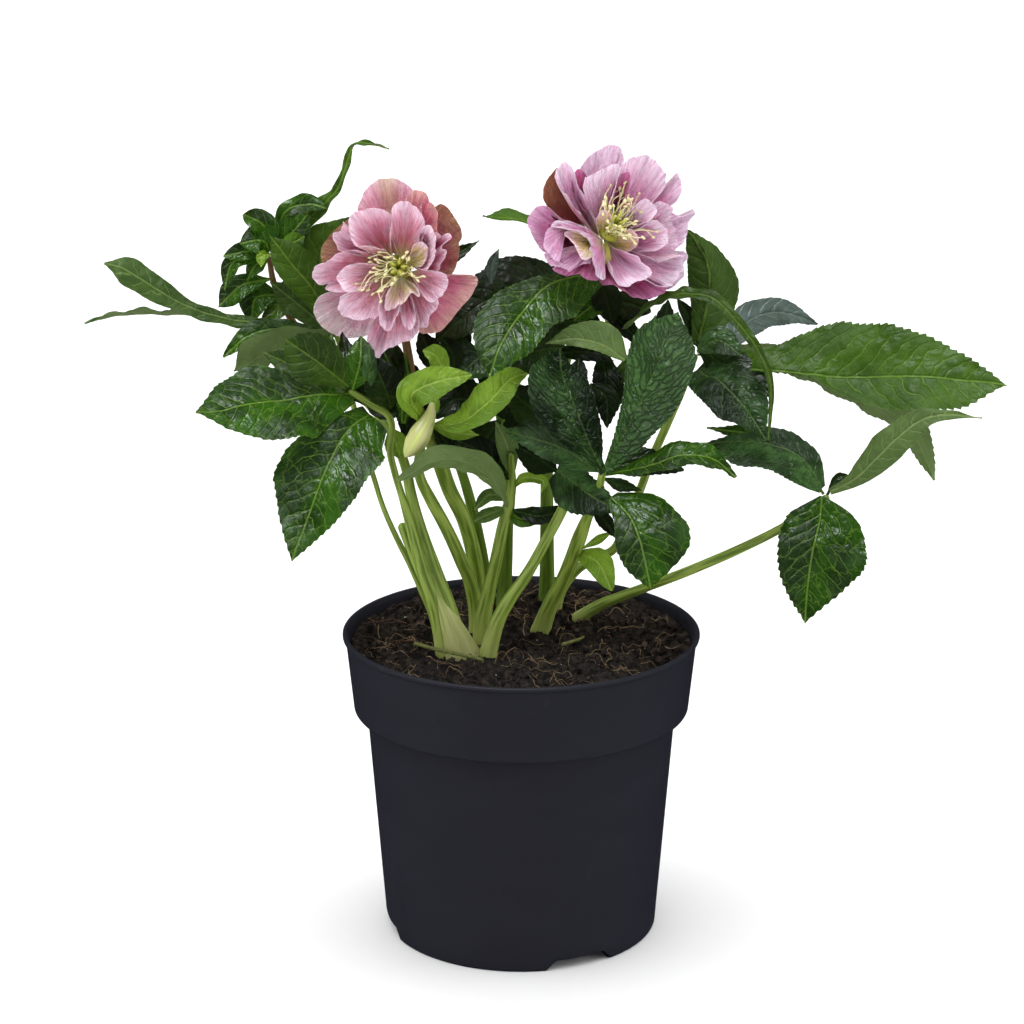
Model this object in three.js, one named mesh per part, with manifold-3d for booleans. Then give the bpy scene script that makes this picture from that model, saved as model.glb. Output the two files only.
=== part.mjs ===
// Double-flowered hellebore in a nursery pot.
// Millimetres, +Z up, front towards -Y. Origin: middle of the pot's floor, on the ground.
import * as THREE from 'three';
import { mergeVertices } from 'three/addons/utils/BufferGeometryUtils.js';
import Module from 'manifold-3d';

const wasm = await Module();
wasm.setup();

// Pot
const RIM_RADIUS = 85;
const POT_HEIGHT = 148;
const WALL = 1.5;
const BAND_BOTTOM = 110;
const BAND_RADIUS_LOW = 80;
const BAND_RADIUS_HIGH = 83.6;
const BODY_RADIUS_TOP = 73.9;
const BODY_RADIUS_LOW = 65.4;
const FLOOR_TOP = 4.2;
const CHANNEL_HEIGHT = 2.6;
const PAD_RADIUS = 20;
const NOTCH_HEIGHT = 5.2;
const NOTCH_SPAN = 26;
const NOTCH_HEADINGS = [25.6, 102.2, 205.6, 282.2];
const NOTCH_DEPTH = 5;
const POT_SEGMENTS = 48;
const SOIL_SEGMENTS = 40;

// Growing medium: its top leans up towards the back of the pot
const SOIL_LEVEL = 141;
const SOIL_LEAN = 0.055;
const GAP = 0.35;

// Plant
const LEAF_THICKNESS = 0.9;
const LEAF_STATIONS = 7;
const PETAL_THICKNESS = 0.9;
const STEM_SIDES = 6;
const STEM_END = { length: 0.85, radius: 0.5 };
const CARRIER_BALLS = 240;
const RECEPTACLE_RADIUS = 3;
const RECEPTACLE_LENGTH = 5;
const CUP_RADIUS = 7;
const CUP_THICKNESS = 3;
const BOSS = [[0, 3.6], [3, 3.2], [6, 1.4]];
const FILAMENTS = 14;
const FILAMENT_TURN = 2.4;
const FILAMENT_ROOT = { out: 1.8, up: 1.2, radius: 0.4 };
const FILAMENT_TIP = { length: 9, radius: 0.6 };

// Everything that grows is laid out on an upright sheet through the pot's axis, as seen from EYE.
// A point is [across, depth, height]: its depth moves it along its line of sight.
const EYE = new THREE.Vector3(-4.4, -1339, 596);

function at([across, depth, height]) {
  const onSheet = new THREE.Vector3(across, 0, height);
  return onSheet.sub(EYE).multiplyScalar(1 - depth / EYE.y).add(EYE);
}

function routeThrough(points) {
  return new THREE.CatmullRomCurve3(points.map(at), false, 'catmullrom', 0.5);
}

// Solids

function solidFrom(positions, triangles) {
  const geometry = new THREE.BufferGeometry();
  geometry.setAttribute('position', new THREE.Float32BufferAttribute(positions, 3));
  geometry.setIndex(triangles);
  return solidOf(geometry);
}

function solidOf(geometry) {
  const bare = geometry.clone();
  bare.deleteAttribute('normal');
  bare.deleteAttribute('uv');
  const merged = mergeVertices(bare, 1e-4);
  const index = Array.from(merged.index.array);
  const triVerts = [];
  for (let i = 0; i < index.length; i += 3) {
    const [a, b, c] = index.slice(i, i + 3);
    if (a !== b && b !== c && c !== a) triVerts.push(a, b, c);
  }
  const vertProperties = new Float32Array(merged.attributes.position.array);
  const build = (faces) => new wasm.Manifold(
    new wasm.Mesh({ numProp: 3, vertProperties, triVerts: new Uint32Array(faces) }),
  );
  const solid = build(triVerts);
  if (solid.volume() > 0) return solid;
  const flipped = [];
  for (let i = 0; i < triVerts.length; i += 3) {
    flipped.push(triVerts[i], triVerts[i + 2], triVerts[i + 1]);
  }
  return build(flipped);
}

function geometryOf(solid) {
  const { vertProperties, triVerts } = solid.getMesh();
  const geometry = new THREE.BufferGeometry();
  geometry.setAttribute('position', new THREE.Float32BufferAttribute(Array.from(vertProperties), 3));
  geometry.setIndex(Array.from(triVerts));
  geometry.computeVertexNormals();
  return geometry;
}

const joined = (solids) => solids.reduce((whole, next) => whole.add(next));

// Skins rows of points, one closed ring per station, into a capped body.
function skinned(rings) {
  const sides = rings[0].length;
  const positions = rings.flat().flatMap((p) => [p.x, p.y, p.z]);
  const triangles = [];
  for (let ring = 0; ring < rings.length - 1; ring++) {
    for (let side = 0; side < sides; side++) {
      const next = (side + 1) % sides;
      const a = ring * sides + side;
      const b = ring * sides + next;
      triangles.push(a, b, b + sides, a, b + sides, a + sides);
    }
  }
  const last = (rings.length - 1) * sides;
  for (let side = 1; side < sides - 1; side++) {
    triangles.push(0, side + 1, side);
    triangles.push(last, last + side, last + side + 1);
  }
  return solidFrom(positions, triangles);
}

// A round stem that tapers through the given radii, evenly spread along its route.
function stem(points, radii) {
  const route = routeThrough(points);
  const stations = Math.max(6, Math.round(points.length * 1.5));
  const rings = [];
  for (let i = 0; i <= stations; i++) {
    const along = i / stations;
    const centre = route.getPoint(along);
    const heading = route.getTangent(along);
    const side = new THREE.Vector3().crossVectors(heading, new THREE.Vector3(0, 1, 0)).normalize();
    const front = new THREE.Vector3().crossVectors(side, heading);
    const radius = spread(radii, along);
    rings.push(circle(centre, side, front, radius, STEM_SIDES));
    if (i === stations) {
      const crown = centre.clone().addScaledVector(heading, STEM_END.length * radius);
      rings.push(circle(crown, side, front, STEM_END.radius * radius, STEM_SIDES));
    }
  }
  return skinned(rings);
}

function spread(values, along) {
  const place = along * (values.length - 1);
  const low = Math.min(Math.floor(place), values.length - 2);
  return THREE.MathUtils.lerp(values[low], values[low + 1], place - low);
}

function circle(centre, side, front, radius, count) {
  return Array.from({ length: count }, (_, i) => {
    const turn = (i / count) * 2 * Math.PI;
    return centre.clone()
      .addScaledVector(side, radius * Math.cos(turn))
      .addScaledVector(front, radius * Math.sin(turn));
  });
}

// Half width of a blade at v: widest at peak, blunter as fullness falls.
function bladeHalfWidth(v, halfWidth, peak, fullness) {
  const bend = Math.log(0.5) / Math.log(peak);
  const swell = Math.sin(Math.PI * Math.min(v ** bend, 1)) ** fullness;
  return Math.max(halfWidth * swell, 0.7 - 0.4 * v);
}

// The directions that a blade's upper side can look in.
const LOOKS = {
  viewer: [0, -0.85, 0.53],
  front: [0, -1, 0.05],
  up: [0, -0.15, 1],
  frontUp: [0, -0.55, 0.83],
  level: [0, 0.28, 0.96],
  behind: [0, 0.75, 0.66],
  frontRight: [0.5, -0.75, 0.45],
  awayLeft: [-0.2, 0.8, 0.55],
  folded: [0, -0.7, 0.7],
};

// A blade: a thin folded leaf or petal along its route, free of the bodies it grows from.
function blade(shape) {
  const { route, halfWidth, peak = 0.5, fullness = 0.9, looks = 'viewer', fold = 10, thickness,
    clearOf } = shape;
  const line = routeThrough(route);
  const [lookBase, lookTip] = [looks].flat().length === 2 ? looks : [looks, looks];
  const start = clearOf ? clearStart(line, clearOf) : 0;
  const rise = THREE.MathUtils.degToRad(fold);
  const rings = [];
  for (let i = 0; i <= LEAF_STATIONS; i++) {
    const v = start + (1 - start) * (i / LEAF_STATIONS);
    const centre = line.getPoint(v);
    const heading = line.getTangent(v);
    const towardsTip = new THREE.Vector3(...LOOKS[lookTip]);
    const look = new THREE.Vector3(...LOOKS[lookBase]).lerp(towardsTip, v);
    const side = new THREE.Vector3().crossVectors(heading, look).normalize();
    const normal = new THREE.Vector3().crossVectors(side, heading);
    const reach = bladeHalfWidth(v, halfWidth, peak, fullness);
    const point = (across, offset) => centre.clone()
      .addScaledVector(side, across * reach * Math.cos(rise))
      .addScaledVector(normal, Math.abs(across) * reach * Math.sin(rise) + offset);
    const upper = [-1, 0, 1].map((across) => point(across, thickness / 2));
    const lower = [1, 0, -1].map((across) => point(across, -thickness / 2));
    rings.push([...upper, ...lower]);
  }
  return skinned(rings);
}

// How far along its route a blade must start to stay clear of what carries it.
function clearStart(line, carriers) {
  for (let v = 0; v < 0.6; v += 0.004) {
    const here = line.getPoint(v);
    const free = carriers.every(({ centre, radius }) => here.distanceTo(centre) > radius + 1.5 * GAP);
    if (free) return v;
  }
  return 0;
}

// The balls that stand for a stem's surface where blades grow from it.
function carriersOf(points, radii) {
  const route = routeThrough(points);
  return Array.from({ length: CARRIER_BALLS + 1 }, (_, i) => ({
    centre: route.getPoint(i / CARRIER_BALLS),
    radius: spread(radii, i / CARRIER_BALLS),
  }));
}

// Pot

function lathe(profile, segments) {
  const geometry = new THREE.LatheGeometry(profile.map(([r, z]) => new THREE.Vector2(r, z)), segments);
  geometry.rotateX(Math.PI / 2);
  return solidOf(geometry);
}

function innerRadius(z) {
  const bodyTop = BODY_RADIUS_TOP - WALL;
  if (z < BAND_BOTTOM + WALL) {
    return THREE.MathUtils.mapLinear(z, 0, BAND_BOTTOM, BODY_RADIUS_LOW - WALL, bodyTop);
  }
  const low = BAND_RADIUS_LOW - WALL;
  return THREE.MathUtils.mapLinear(z, BAND_BOTTOM, POT_HEIGHT, low, BAND_RADIUS_HIGH - WALL);
}

function notch(heading) {
  const half = THREE.MathUtils.degToRad(NOTCH_SPAN / 2);
  const middle = THREE.MathUtils.degToRad(heading - 90);
  const outline = new THREE.Shape();
  outline.absarc(0, 0, BODY_RADIUS_LOW + NOTCH_DEPTH, middle - half, middle + half, false);
  outline.absarc(0, 0, BODY_RADIUS_LOW - NOTCH_DEPTH, middle + half, middle - half, true);
  outline.closePath();
  const geometry = new THREE.ExtrudeGeometry(outline, {
    depth: NOTCH_HEIGHT + 2,
    bevelEnabled: false,
    curveSegments: 4,
  });
  geometry.translate(0, 0, -2);
  return solidOf(geometry);
}

function potSolid() {
  const footRadius = BODY_RADIUS_LOW - 0.8;
  const profile = [
    [0, 0],
    [PAD_RADIUS, 0],
    [PAD_RADIUS + 2, CHANNEL_HEIGHT],
    [footRadius - 4, CHANNEL_HEIGHT],
    [footRadius - 3.4, 0],
    [footRadius, 0],
    [BODY_RADIUS_LOW, 0.8],
    [BODY_RADIUS_TOP, BAND_BOTTOM],
    [BAND_RADIUS_LOW - 0.6, BAND_BOTTOM],
    [BAND_RADIUS_LOW, BAND_BOTTOM + 0.8],
    [BAND_RADIUS_HIGH, POT_HEIGHT - 2.6],
    [RIM_RADIUS, POT_HEIGHT - 2],
    [RIM_RADIUS, POT_HEIGHT - 0.6],
    [RIM_RADIUS - 0.6, POT_HEIGHT],
    [RIM_RADIUS - 2, POT_HEIGHT],
    [innerRadius(POT_HEIGHT - 2), POT_HEIGHT - 2],
    [innerRadius(BAND_BOTTOM + WALL), BAND_BOTTOM + WALL],
    [innerRadius(BAND_BOTTOM), BAND_BOTTOM + WALL],
    [innerRadius(FLOOR_TOP), FLOOR_TOP],
    [0, FLOOR_TOP],
  ];
  const whole = lathe(profile, POT_SEGMENTS);
  return NOTCH_HEADINGS.reduce((pot, heading) => pot.subtract(notch(heading)), whole);
}

// A slab whose top is the soil's leaning surface, raised by lift.
function belowSoil(lift) {
  const half = RIM_RADIUS + 10;
  const geometry = new THREE.BoxGeometry(2 * half, 2 * half, POT_HEIGHT);
  geometry.translate(0, 0, SOIL_LEVEL + lift - POT_HEIGHT / 2);
  const position = geometry.attributes.position;
  for (let i = 0; i < position.count; i++) {
    position.setZ(i, position.getZ(i) + SOIL_LEAN * position.getY(i));
  }
  return solidOf(geometry);
}

function soilSolid() {
  const bottom = FLOOR_TOP + GAP;
  const ledge = BAND_BOTTOM + WALL + GAP;
  const top = POT_HEIGHT - 1;
  const profile = [
    [0, bottom],
    [innerRadius(bottom) - 4, bottom],
    [innerRadius(bottom + 3) - GAP, bottom + 3],
    [innerRadius(BAND_BOTTOM) - GAP, ledge],
    [innerRadius(ledge) - GAP, ledge],
    [innerRadius(top) - GAP, top],
    [0, top],
  ];
  return lathe(profile, SOIL_SEGMENTS).intersect(belowSoil(0));
}

// Stems: [points, radii]
const STEMS = {
  stem_flower_left: [
    [[-18.8, 36, 147], [-20.1, 28, 163], [-21.9, 20, 182], [-26.1, 10, 202], [-32.6, 2, 216.5],
      [-37.7, -6, 230], [-43.6, -14, 245], [-48.2, -20, 255], [-50.9, -24, 267.4],
      [-52.2, -25, 279.3], [-54.4, -22, 294], [-56.6, -22, 313], [-56.6, -24.5, 321.4]],
    [4.2, 3.8, 3.6, 3.6, 3.6, 3, 2.4, 2, 1.9, 1.9],
  ],
  stem_bud: [
    [[-20.6, 15, 140], [-20.6, 12, 157], [-22.9, 6, 172], [-26.6, 0, 182], [-30.8, -5, 192],
      [-35.5, -10, 201.7], [-41.1, -16, 211.6], [-47.1, -22, 223], [-47.9, -27, 233.5],
      [-43.6, -33, 247]],
    [3.3, 3.3, 3.2, 3, 2.8, 2.2, 1.7],
  ],
  stem_leafy: [
    [[-18.2, 3, 134], [-18.2, 2, 152], [-15.3, 0, 167], [-12, -3, 182], [-9.1, -6, 197],
      [-6.3, -9, 209], [-4.4, -12, 219], [-4.9, -20, 233.5]],
    [4, 3.8, 3.2, 3, 2.8, 2.6, 2, 1.4],
  ],
  stem_back_left: [
    [[-8.2, 56, 150], [-7.7, 50, 172], [-6.8, 44, 187], [-6.3, 38, 202], [-5.3, 30, 216.5],
      [-7.7, 22, 236], [-10.9, 14, 260], [-14.6, 8, 284], [-15.5, 6, 306]],
    [3.6, 3.2, 2.7, 2.6, 2.5, 2.2, 1.8, 1.4],
  ],
  stem_back: [
    [[12.2, 58, 150], [12.2, 54, 172], [12.1, 48, 187], [12.1, 42, 202], [12, 36, 216.5],
      [12.4, 30, 236], [16.1, 24, 260], [23.4, 22, 289], [28.8, 26, 312], [31.4, 30, 331]],
    [3.6, 3.5, 3.4, 3.2, 3, 2.6, 2.2, 1.8, 1.4],
  ],
  petiole_centre: [
    [[7, 18, 140], [13.2, 12, 158.5], [19.8, 4, 172], [24, -4, 183], [27.7, -14, 194],
      [31.4, -26, 204], [35.6, -37, 213], [37.8, -47, 224]],
    [4, 3.7, 3.6, 3.5, 3.4, 2.4, 1.9, 1.8],
  ],
  stem_flower_right: [
    [[-17.3, -17, 130], [-11.5, -18, 151], [-5.4, -19, 163], [1.3, -20, 173], [7, -21, 183],
      [12.1, -22, 193], [16.8, -23, 202], [20.5, -22, 210], [25.6, -18, 224], [31.1, -14, 243],
      [35.6, -12, 265], [39.1, -12, 286.5], [41.3, -13, 308], [40.4, -18, 328],
      [39.4, -24.5, 338.5]],
    [3.6, 3.3, 2.9, 2.6, 2.5, 2.5, 2.4, 2.2, 2, 2, 2, 2],
  ],
  petiole_right_high: [
    [[14.6, 46, 148], [18.4, 46, 166], [26.9, 44, 178], [37.2, 40, 184], [44.7, 36, 189],
      [51.6, 27, 206], [56.2, 22, 218], [60.7, 18, 231], [65.2, 14, 242], [70.2, 9, 254],
      [74.7, 4, 265], [80, 0, 280.7]],
    [2.5, 2.4, 2.2, 2.1, 2.1, 2, 2, 1.9, 1.8],
  ],
  petiole_right_low: [
    [[22, 33, 144], [24.6, 32, 151], [36.5, 26, 159.5], [46.9, 18, 164], [61, 8, 170.5],
      [79.9, -3, 178.4], [103.3, -12, 189], [124.3, -18, 199], [143.2, -22, 212.6]],
    [2.9, 2.7, 2.5, 2.3, 2.3, 2.2, 2, 1.8],
  ],
  petiole_left_back: [
    [[-36.8, 6, 134], [-40.6, 3, 154.4], [-45.2, -1, 167], [-50.8, -3, 180.4], [-56.3, -4, 191],
      [-61.4, -5, 202], [-65.5, -6, 211.6], [-69.1, -6, 222.3], [-74.5, -4, 241], [-79.8, 0, 265],
      [-84, 4, 286.5], [-85.8, 5, 292]],
    [2.4, 2, 1.6, 1.3, 1.2, 1.3, 1.4, 1.6],
  ],
};

// Two petioles and a cut stub fused at one flared foot
const LEFT_FRONT_PETIOLE = [
  [[-35, -14, 130], [-40.1, -14, 157], [-45.6, -15, 174.5], [-49.8, -16, 189.4], [-53.4, -18, 204],
    [-56.6, -21, 215.5], [-59.3, -24, 225], [-61.5, -28, 236], [-60.4, -30, 246], [-62.2, -32, 253],
    [-69.6, -36, 258], [-78.9, -40, 264]],
  [4, 3.8, 3, 2.4, 1.7, 1.6, 1.6, 1.6, 1.7, 1.6],
];
const TUFT_STEM = [
  [[-28.8, -13, 131], [-33.9, -13, 157], [-39.5, -12, 174.5], [-44.1, -11, 189.4], [-48.2, -10, 204],
    [-51.4, -9, 216.5], [-54.6, -8, 229], [-61.4, 0, 246], [-72.9, 10, 260], [-86.6, 15, 274.6],
    [-97.9, 17, 287.5], [-106, 15, 298], [-110.9, 12, 308], [-114.4, 8, 317], [-115.8, 6, 327]],
  [4.8, 4.4, 4, 3.2, 2.6, 2.4, 2.2, 2, 1.8, 1.7, 1.6, 1.5, 1.3],
];
const CUT_STUB = [
  [[-37.5, -11, 143], [-44.3, -11, 167], [-50.3, -10, 183], [-55.8, -9, 198.3]],
  [2.8, 2.6, 2.4, 2.4],
];

// Leaves: route, half width, and how the blade lies
const LEAVES = {
  leaf_left_front_long: { carrier: 'left_front', halfWidth: 20, peak: 0.52,
    looks: ['viewer', 'frontUp'], fold: 5,
    route: [[-78.9, -40, 264], [-114.7, -60, 260], [-151.7, -74, 255.3]] },
  leaf_left_front_low: { carrier: 'left_front', halfWidth: 22.5, peak: 0.48, fold: 6,
    route: [[-64, -37, 249.5], [-78, -52, 246.5], [-88, -60, 233], [-98, -68, 209],
      [-108.5, -72, 181.4]] },
  leaf_left_front_round: { carrier: 'left_front', halfWidth: 11, peak: 0.58, fullness: 0.7,
    looks: 'front', fold: 5,
    route: [[-80.2, -41.6, 266.6], [-94.4, -51, 278.4], [-109, -52, 289]] },
  leaf_left_front_inner: { carrier: 'left_front', halfWidth: 9, peak: 0.56,
    route: [[-60.8, -31.7, 255.4], [-63.5, -41, 266], [-69.7, -41, 281.2]] },
  leaf_left_back_long: { carrier: 'left_back', halfWidth: 9, peak: 0.78, fullness: 1.6,
    looks: 'folded', fold: 6,
    route: [[-86, 5, 292], [-107, 1, 294.6], [-130, -2, 297.4], [-150.8, -5, 303], [-171, -8, 314.5],
      [-190.5, -9, 324.7]] },
  leaf_left_back_edge: { carrier: 'left_back', halfWidth: 5, peak: 0.7, looks: 'level', fold: 14,
    route: [[-87, 6, 292.5], [-125.5, 7, 298], [-160, 9, 301.7], [-180.8, 7, 301.7],
      [-202.2, 4, 297.4]] },
  leaf_left_back_low: { carrier: 'left_back', halfWidth: 8, peak: 0.55, looks: 'behind',
    route: [[-87, 4, 291], [-111.9, -10, 285.5], [-133.5, -16, 274]] },
  leaf_tuft_long: { carrier: 'left_back', halfWidth: 7, peak: 0.62,
    route: [[-84.5, 4, 292.5], [-94, -4, 301], [-104.3, -8, 317], [-111.5, -8, 334]] },
  leaf_tuft_ribbon: { halfWidth: 2.8, peak: 0.4, fullness: 0.6, looks: ['viewer', 'up'], fold: 12,
    route: [[-102.6, 8.3, 341], [-91.2, 8, 352], [-84.7, 5, 359], [-80.9, 4, 368], [-78.5, 3, 375.5],
      [-76.2, 2, 380.5], [-69.8, 0, 380.5], [-60.3, -2, 378.2]] },
  bract_upper: { carrier: 'stem_bud', halfWidth: 6.5, peak: 0.5, fullness: 0.7,
    looks: ['frontRight', 'viewer'], fold: 8,
    route: [[-45.4, -34.4, 249.8], [-51.5, -45, 262], [-39.3, -48, 269], [-23, -47, 272.2]] },
  bract_side: { carrier: 'stem_bud', halfWidth: 7.5, peak: 0.45, looks: ['frontUp', 'viewer'], fold: 14,
    route: [[-42, -34, 248.6], [-27.7, -46, 250], [-14.6, -52, 260], [-5.3, -52, 270],
      [3, -50, 272.7]] },
  leaf_arched_under: { carrier: 'stem_leafy', halfWidth: 8, looks: 'behind', peak: 0.6, fold: 8,
    route: [[-6.8, -12, 209], [-12.5, -26, 221], [-23.1, -38, 229.5], [-39.1, -45, 232],
      [-58.4, -47, 221.3]] },
  leaf_under_right_flower: { carrier: 'stem_flower_right', halfWidth: 13.5, fold: 8,
    route: [[40, -15, 320], [16.8, -30, 316.3], [3, -44, 302.2], [-8.6, -56, 286.5],
      [-14.6, -63, 267.9]] },
  leaf_dark_behind: { carrier: 'stem_back', halfWidth: 14, fullness: 0.75,
    route: [[28.5, 24, 314], [3.9, 6, 315.5], [-19.2, -8, 305.5], [-40, -14, 288]] },
  leaf_centre_left: { carrier: 'petiole_centre', halfWidth: 14.5, peak: 0.62, fold: 14,
    route: [[37.3, -48, 226.2], [28.8, -56, 246.7], [18.9, -60, 266], [12.7, -57, 285.5]] },
  leaf_centre_right: { carrier: 'petiole_centre', halfWidth: 16, peak: 0.58, fold: 10,
    route: [[38.7, -49, 226.7], [50.7, -61, 248], [60.6, -66, 274.6], [66.7, -62, 301.7]] },
  leaf_centre_side: { carrier: 'petiole_centre', halfWidth: 6.5, looks: 'frontUp',
    route: [[39.5, -49, 224.5], [57.9, -58, 229.6], [76.6, -62, 233.5], [100.2, -60, 222.8]] },
  leaf_centre_dark: { carrier: 'stem_flower_right', halfWidth: 7.6, looks: 'front', peak: 0.7,
    fullness: 1.5, fold: 4,
    route: [[20.5, -23, 211], [16.7, -33, 218.4], [19, -43, 224.8], [32.2, -47, 214],
      [47.4, -45.5, 203.6]] },
  leaf_centre_round: { carrier: 'petiole_centre', halfWidth: 17, peak: 0.52, fullness: 0.62, fold: 4,
    route: [[39.8, -47.2, 221.4], [50, -59, 208.5], [57.5, -63, 189.4], [60.1, -61, 168]] },
  leaf_stem_bright: { carrier: 'petiole_centre', halfWidth: 6.5, fullness: 0.75,
    route: [[25.8, -7.4, 186], [36.3, -18, 181], [43, -20, 167]] },
  leaf_right_high_upright: { carrier: 'petiole_right_high', halfWidth: 11, peak: 0.5,
    looks: 'frontRight', fold: 22,
    route: [[80.5, 0.5, 282], [88, 4, 303], [88, 3, 322], [77, 1, 341]] },
  leaf_right_high_back: { carrier: 'petiole_right_high', halfWidth: 6, looks: 'behind',
    route: [[80.5, 1, 281.5], [103.3, 14, 294.6], [121.7, 18, 300.8], [137, 20, 298]] },
  leaf_right_high_big: { carrier: 'petiole_right_high', halfWidth: 25, peak: 0.54, fullness: 1.1,
    looks: 'folded', fold: 25,
    route: [[80.5, -0.5, 280.7], [103.7, -8, 277.4], [129.3, -14, 274.1], [161.9, -20, 271.7],
      [194.5, -26, 270.3], [225.8, -30, 266.4]] },
  leaf_right_high_under: { carrier: 'petiole_right_high', halfWidth: 9, peak: 0.6, looks: 'behind',
    route: [[80.5, 1, 279.5], [110.8, 18, 272], [143.5, 22, 266], [169.6, 18, 251.5],
      [194.6, 10, 221.3]] },
  leaf_right_high_low: { carrier: 'petiole_right_high', halfWidth: 10.5,
    route: [[80.3, -1, 279.5], [91.3, -22, 267.4], [103.2, -36, 254.4], [111.5, -42, 240]] },
  leaf_arching: { carrier: 'stem_flower_right', halfWidth: 5, peak: 0.8, fullness: 2,
    looks: ['up', 'front'],
    route: [[41, -14, 289], [47.4, -20, 295], [56.1, -28, 303], [66.1, -34, 309], [77.7, -40, 311],
      [89.2, -45, 308], [100.1, -50, 297], [109.6, -54, 284], [116, -55, 267.4], [115.5, -53, 241]] },
  leaf_right_low_hanging: { carrier: 'petiole_right_low', halfWidth: 20, peak: 0.44, fullness: 0.8,
    fold: 8,
    route: [[143, -23, 211.6], [142.9, -31, 194], [141.5, -33, 176], [135.1, -30, 150.4]] },
  leaf_right_low_dark: { carrier: 'petiole_right_low', halfWidth: 8.5, peak: 0.45, looks: 'frontUp',
    route: [[142, -22, 214], [132.9, -22, 227.5], [114, -21, 237.5], [85.9, -18, 236.5]] },
  leaf_right_low_rising: { carrier: 'petiole_right_low', halfWidth: 7.5, peak: 0.45,
    looks: 'awayLeft', fold: 18,
    route: [[144.6, -22, 213], [157.5, -30, 222.8], [171.5, -36, 238], [191.6, -40, 250.5],
      [215.8, -38, 252.4]] },
  leaf_back_light: { carrier: 'stem_back', halfWidth: 4.5, looks: 'up',
    route: [[31, 30, 329], [8.4, 32, 341], [-15.8, 28, 348.4]] },
};

// Small leaves of the tuft, joined where they crowd together
const TUFT_ROOT = [-115.8, 5.5, 331];
const TUFT_LEAVES = [
  { halfWidth: 4, route: [TUFT_ROOT, [-120, 2, 338], [-130, -2, 336.4]] },
  { halfWidth: 4.4, route: [TUFT_ROOT, [-120.1, 3, 346.6], [-128.4, 1, 345.6]] },
  { halfWidth: 3.8, route: [TUFT_ROOT, [-107.2, 4, 351.6], [-101.2, 3, 355.8], [-91.2, -1, 354.5]] },
  { halfWidth: 5, fullness: 0.7, route: [TUFT_ROOT, [-104, 7, 340], [-102.7, 4, 349.8]] },
  { halfWidth: 3.6, route: [TUFT_ROOT, [-126, 2, 332], [-137.2, 0, 327]] },
  { halfWidth: 3.4, route: [TUFT_ROOT, [-130, 0, 328], [-137.5, -2, 313]] },
  { halfWidth: 3.8, route: [TUFT_ROOT, [-103, 3, 333], [-98.4, 1, 337.3]] },
  { halfWidth: 3.6, route: [TUFT_ROOT, [-121.5, 7, 326], [-126, 6, 318.6]] },
  { halfWidth: 4.2, route: [TUFT_ROOT, [-101, 10, 328], [-92.2, 11, 325.6]] },
];

// The hanging bud: centre and radius of each ring, from its stalk to its tip
const BUD = [
  [[-44.3, -35.5, 248.6], 1],
  [[-46.2, -39, 245.5], 3.2],
  [[-49, -40, 241.5], 4],
  [[-52, -40.5, 237.5], 2.4],
  [[-54, -41, 235], 0.4],
];

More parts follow.
